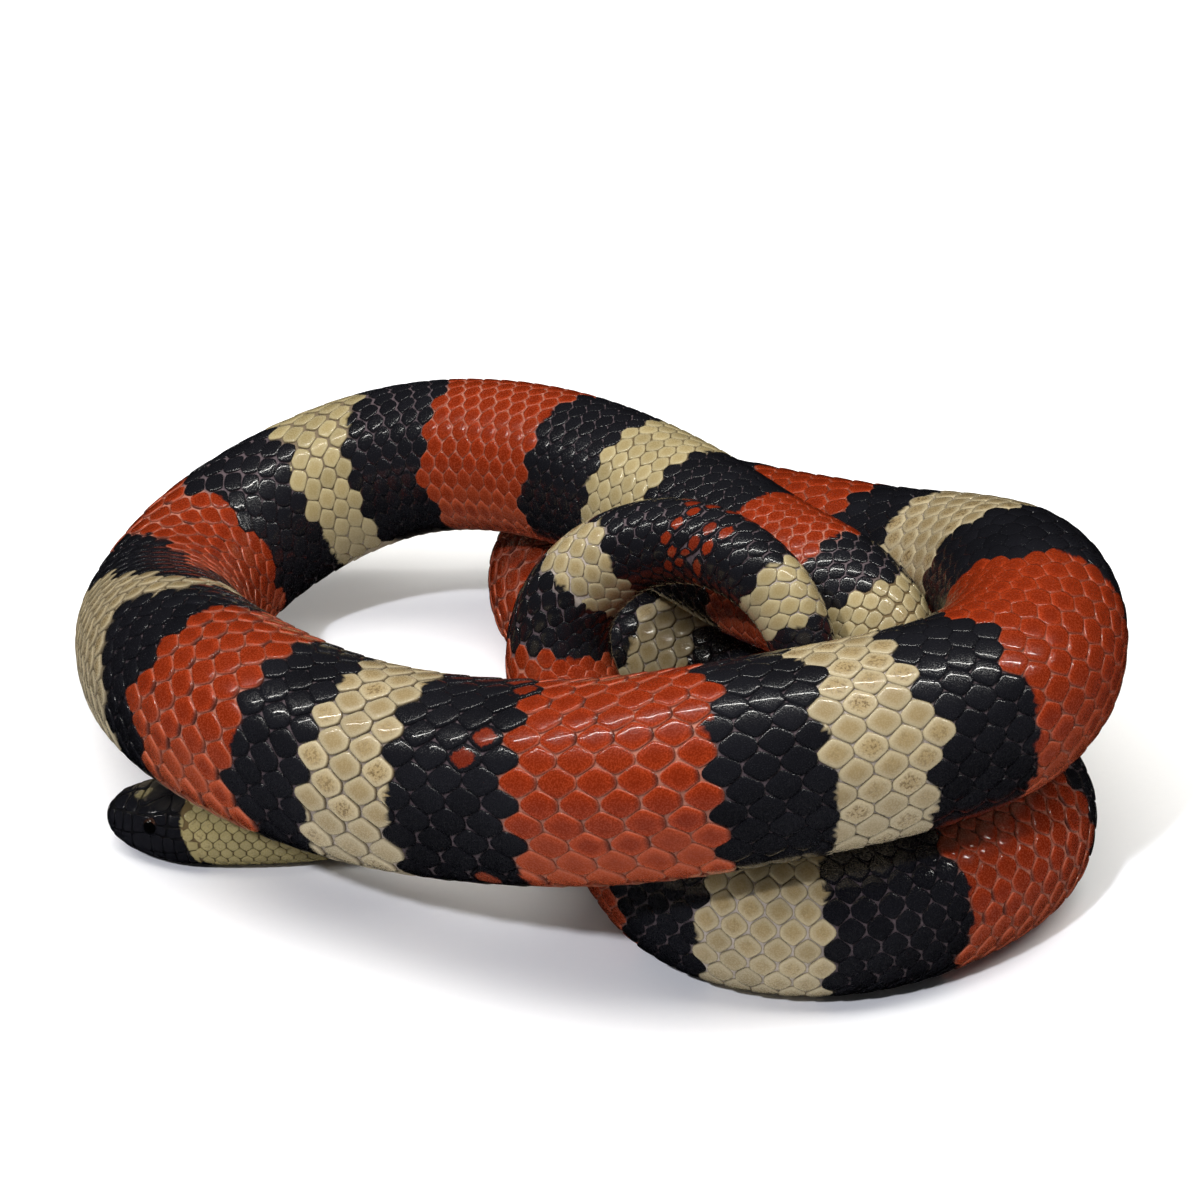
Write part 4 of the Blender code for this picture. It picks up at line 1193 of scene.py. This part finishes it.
def eye_rim(body, side):
    """Bead round the eye: a small circle carried round a larger one on the head's surface."""
    around, tube = 44, 8
    turn = np.linspace(0.0, 2 * np.pi, around, endpoint=False)[:, None]
    small = np.linspace(0.0, 2 * np.pi, tube, endpoint=False)[None, :]
    bead = 0.09
    radius = 0.93 + bead * np.cos(small) + 0 * turn
    scale = half_girth(body, EYE_SPOT[0])
    s = EYE_SPOT[0] + radius * np.cos(turn)
    t = side * (EYE_SPOT[1] + radius * np.sin(turn) / scale)
    points = on_body(body, s, t, 0.02 + bead * np.sin(small) + 0 * turn)
    i, j = np.meshgrid(np.arange(around), np.arange(tube), indexing="ij")
    a, b = (i + 1) % around, (j + 1) % tube
    quads = np.stack([i * tube + j, a * tube + j, a * tube + b, i * tube + b], -1).reshape(-1, 4)
    if side < 0.0:
        quads = quads[:, ::-1]
    place = np.zeros((around * tube, 3))
    return points.reshape(-1, 3), [quads, np.zeros((0, 3), int)], place, np.stack([s, t], -1).reshape(-1, 2)


def head_pigment(seat, points):
    """Black head with a cream collar and one tan spot before the brow, its edge softly broken."""
    s, t = seat.T
    weights = weights_of(pigment_at(s, t))
    spot = np.hypot((s - 5.35) / 1.15, (t - 0.07) * 15.5 / 1.25)
    spot = spot + 0.16 * surface_noise(points, 1.6, 5)
    tan = (1.0 - soft_step(spot, 0.75, 1.05))[:, None] * 0.6
    return weights * (1.0 - tan) + np.array([0.0, 0.0, 1.0]) * tan


class SNAKE_OT_eyes(bpy.types.Operator):
    """Wet black eyes under a clear spectacle, in place of the plain ones"""
    bl_idname = "snake.eyes"
    bl_label = "Eyes"

    def execute(self, context):
        mat = eye_material()
        # A sphere in turns from the pupil's axis and round it, just inside the plain eye
        radius = EYE_RADIUS - 0.02
        tilt = np.linspace(0.0, np.pi, 33)[1:-1]
        turn = np.linspace(0.0, 2 * np.pi, 40, endpoint=False)
        A, B = np.meshgrid(tilt, turn, indexing="ij")
        n, k = A.shape
        caps = np.concatenate([np.roll(fan_faces(0, k, n * k), 1, 1),
                               fan_faces((n - 1) * k, k, n * k + 1)[:, ::-1]])
        place = np.zeros((n * k + 2, 3))
        place[:, 2] = np.append(A.ravel() / np.pi, [0.0, 1.0])
        for name, side in (("eye_left", 1.0), ("eye_right", -1.0)):
            low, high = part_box(name)
            centre = (np.array(low) + np.array(high)) * 0.5 / MM
            out = on_body(BODY, EYE_SPOT[0], side * EYE_SPOT[1]) - centre
            out /= np.linalg.norm(out)
            u = np.cross(out, [0.0, 0.0, 1.0])
            u /= np.linalg.norm(u)
            v = np.cross(u, out)
            round_ = np.cos(B)[..., None] * u + np.sin(B)[..., None] * v
            ball = np.cos(A)[..., None] * out + np.sin(A)[..., None] * round_
            verts = np.vstack([(centre + radius * ball).reshape(-1, 3), centre + radius * out,
                               centre - radius * out])
            faces = [grid_faces(n, k, closed=True), caps]
            eye = mesh_piece(name + "_ball", verts, faces, [mat], {"place": place})
            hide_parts(name)
        return {"FINISHED"}


class SNAKE_OT_stage(bpy.types.Operator):
    """Pale floor, soft studio light and the camera"""
    bl_idname = "snake.stage"
    bl_label = "Stage"

    def execute(self, context):
        stage = context.scene.snake_stage
        mat, tree, shader = new_material("painted_board", Roughness=0.45, IOR=1.4)
        where = add_node(tree, "ShaderNodeTexCoord").outputs["Object"]
        # Paint texture of about 1 mm
        tooth = add_node(tree, "ShaderNodeTexNoise", {"Vector": where, "Scale": 900.0, "Detail": 2.0})
        whites = {0: tooth.outputs[0], 6: hex_colour(stage.floor), 7: hex_colour("fafafb")}
        tint = add_node(tree, "ShaderNodeMix", whites, data_type="RGBA").outputs[2]
        tree.links.new(tint, shader.inputs["Base Color"])
        # The floor lies just under the belly, so that the two don't flicker through each other
        reach, drop = 1.5, -0.00002
        corners = [(x * reach, y * reach, drop) for x, y in ((-1, -1), (1, -1), (1, 1), (-1, 1))]
        mesh = bpy.data.meshes.new("floor")
        mesh.from_pydata(corners, [], [(0, 1, 2, 3)])
        mesh.materials.append(mat)
        floor = bpy.data.objects.new("floor", mesh)
        context.scene.collection.objects.link(floor)
        # The floor gives its bounce but no mirror image, which would veil the blacks
        floor.visible_glossy = False

        world = bpy.data.worlds.new("studio")
        world.use_nodes = True
        background = world.node_tree.nodes["Background"]
        background.inputs["Color"].default_value = hex_colour("f4f6fb")
        background.inputs["Strength"].default_value = 0.08
        context.scene.world = world
        # Bare walls are dark in the gloss; the strip lamp alone makes the highlights
        world.cycles_visibility.glossy = False

        target = Vector(stage.target)
        ahead = Vector((-0.36, -0.64, 0.67)).normalized()
        # Each lamp: kind, settings with sizes in metres, place, turn and whether it shows in the gloss
        lamps = {
            "overhead_strip": (
                "AREA", {"shape": "RECTANGLE", "size": 1.25, "size_y": 0.007, "energy": 1.7,
                         "color": (1.0, 0.985, 0.93)},
                (0.0, 0.0, 0.5), (0.0, 0.0, 0.0), True),
            "overhead_panel": (
                "AREA", {"shape": "RECTANGLE", "size": 0.9, "size_y": 0.22, "energy": 3.2,
                         "color": (1.0, 0.985, 0.94)},
                (0.0, -0.14, 0.48), (math.radians(17.0), 0.0, 0.0), False),
            "back_panel": (
                "AREA", {"shape": "RECTANGLE", "size": 1.6, "size_y": 0.4, "energy": 8.0,
                         "color": (1.0, 0.985, 0.95)},
                (-0.05, 0.75, 0.45), (0.0, 0.0, 0.0), False),
            "front_lamp": (
                "SUN", {"energy": 2.1, "angle": math.radians(3.0), "color": (0.90, 0.92, 1.0)},
                target + ahead * 0.6, ahead.to_track_quat("Z", "Y").to_euler(), False),
        }
        for name, (kind, settings, place, turn, in_gloss) in lamps.items():
            lamp = bpy.data.lights.new(name, kind)
            for key, value in settings.items():
                setattr(lamp, key, value)
            made = bpy.data.objects.new(name, lamp)
            context.scene.collection.objects.link(made)
            made.location = place
            made.rotation_euler = turn
            made.visible_glossy = in_gloss
        # Plain display of the colours, so that the whites burn out as they do on a studio sweep
        context.scene.view_settings.view_transform = "Standard"

        lens = bpy.data.cameras.new("camera")
        lens.lens = stage.focal_length
        lens.sensor_width = 36.0
        lens.clip_start = 0.01
        camera = bpy.data.objects.new("camera", lens)
        context.scene.collection.objects.link(camera)
        way = Vector((0.0, -math.cos(stage.elevation), math.sin(stage.elevation)))
        camera.location = target + way * stage.distance
        camera.rotation_euler = way.to_track_quat("Z", "Y").to_euler()
        context.scene.camera = camera
        return {"FINISHED"}


class SNAKE_PT_panel(bpy.types.Panel):
    """Lists the pieces of the milk snake"""
    bl_label = "Milk Snake"
    bl_idname = "SNAKE_PT_panel"
    bl_space_type = "VIEW_3D"
    bl_region_type = "UI"
    bl_category = "Milk Snake"

    def draw(self, context):
        for group in (context.scene.snake_look, context.scene.snake_stage):
            for key in group.bl_rna.properties.keys():
                if key not in ("rna_type", "name"):
                    self.layout.prop(group, key)
        for operator in OPERATORS:
            self.layout.operator(operator.bl_idname)


OPERATORS = [SNAKE_OT_skin, SNAKE_OT_back_scales, SNAKE_OT_belly_scutes, SNAKE_OT_head_shields, SNAKE_OT_eyes,
             SNAKE_OT_stage]
CLASSES = [SnakeLook, SnakeStage] + OPERATORS + [SNAKE_PT_panel]


def register():
    """Make the classes and the two groups of settings known."""
    for item in CLASSES:
        bpy.utils.register_class(item)
    bpy.types.Scene.snake_look = bpy.props.PointerProperty(type=SnakeLook)
    bpy.types.Scene.snake_stage = bpy.props.PointerProperty(type=SnakeStage)


def unregister():
    """Take them away again, in reverse order."""
    del bpy.types.Scene.snake_stage
    del bpy.types.Scene.snake_look
    for item in reversed(CLASSES):
        bpy.utils.unregister_class(item)


BODY = build_body()
EYE_SPOT = (EYE_ALONG, float(share_at_height(BODY, EYE_ALONG, EYE_HEIGHT)))
NOSTRIL = (NOSTRIL_ALONG, float(share_at_height(BODY, NOSTRIL_ALONG, NOSTRIL_HEIGHT)))


def main():
    """Build the piece groups in order."""
    register()
    bpy.ops.snake.skin()
    bpy.ops.snake.back_scales()
    bpy.ops.snake.belly_scutes()
    bpy.ops.snake.head_shields()
    bpy.ops.snake.eyes()
    bpy.ops.snake.stage()


if __name__ == "__main__":
    main()
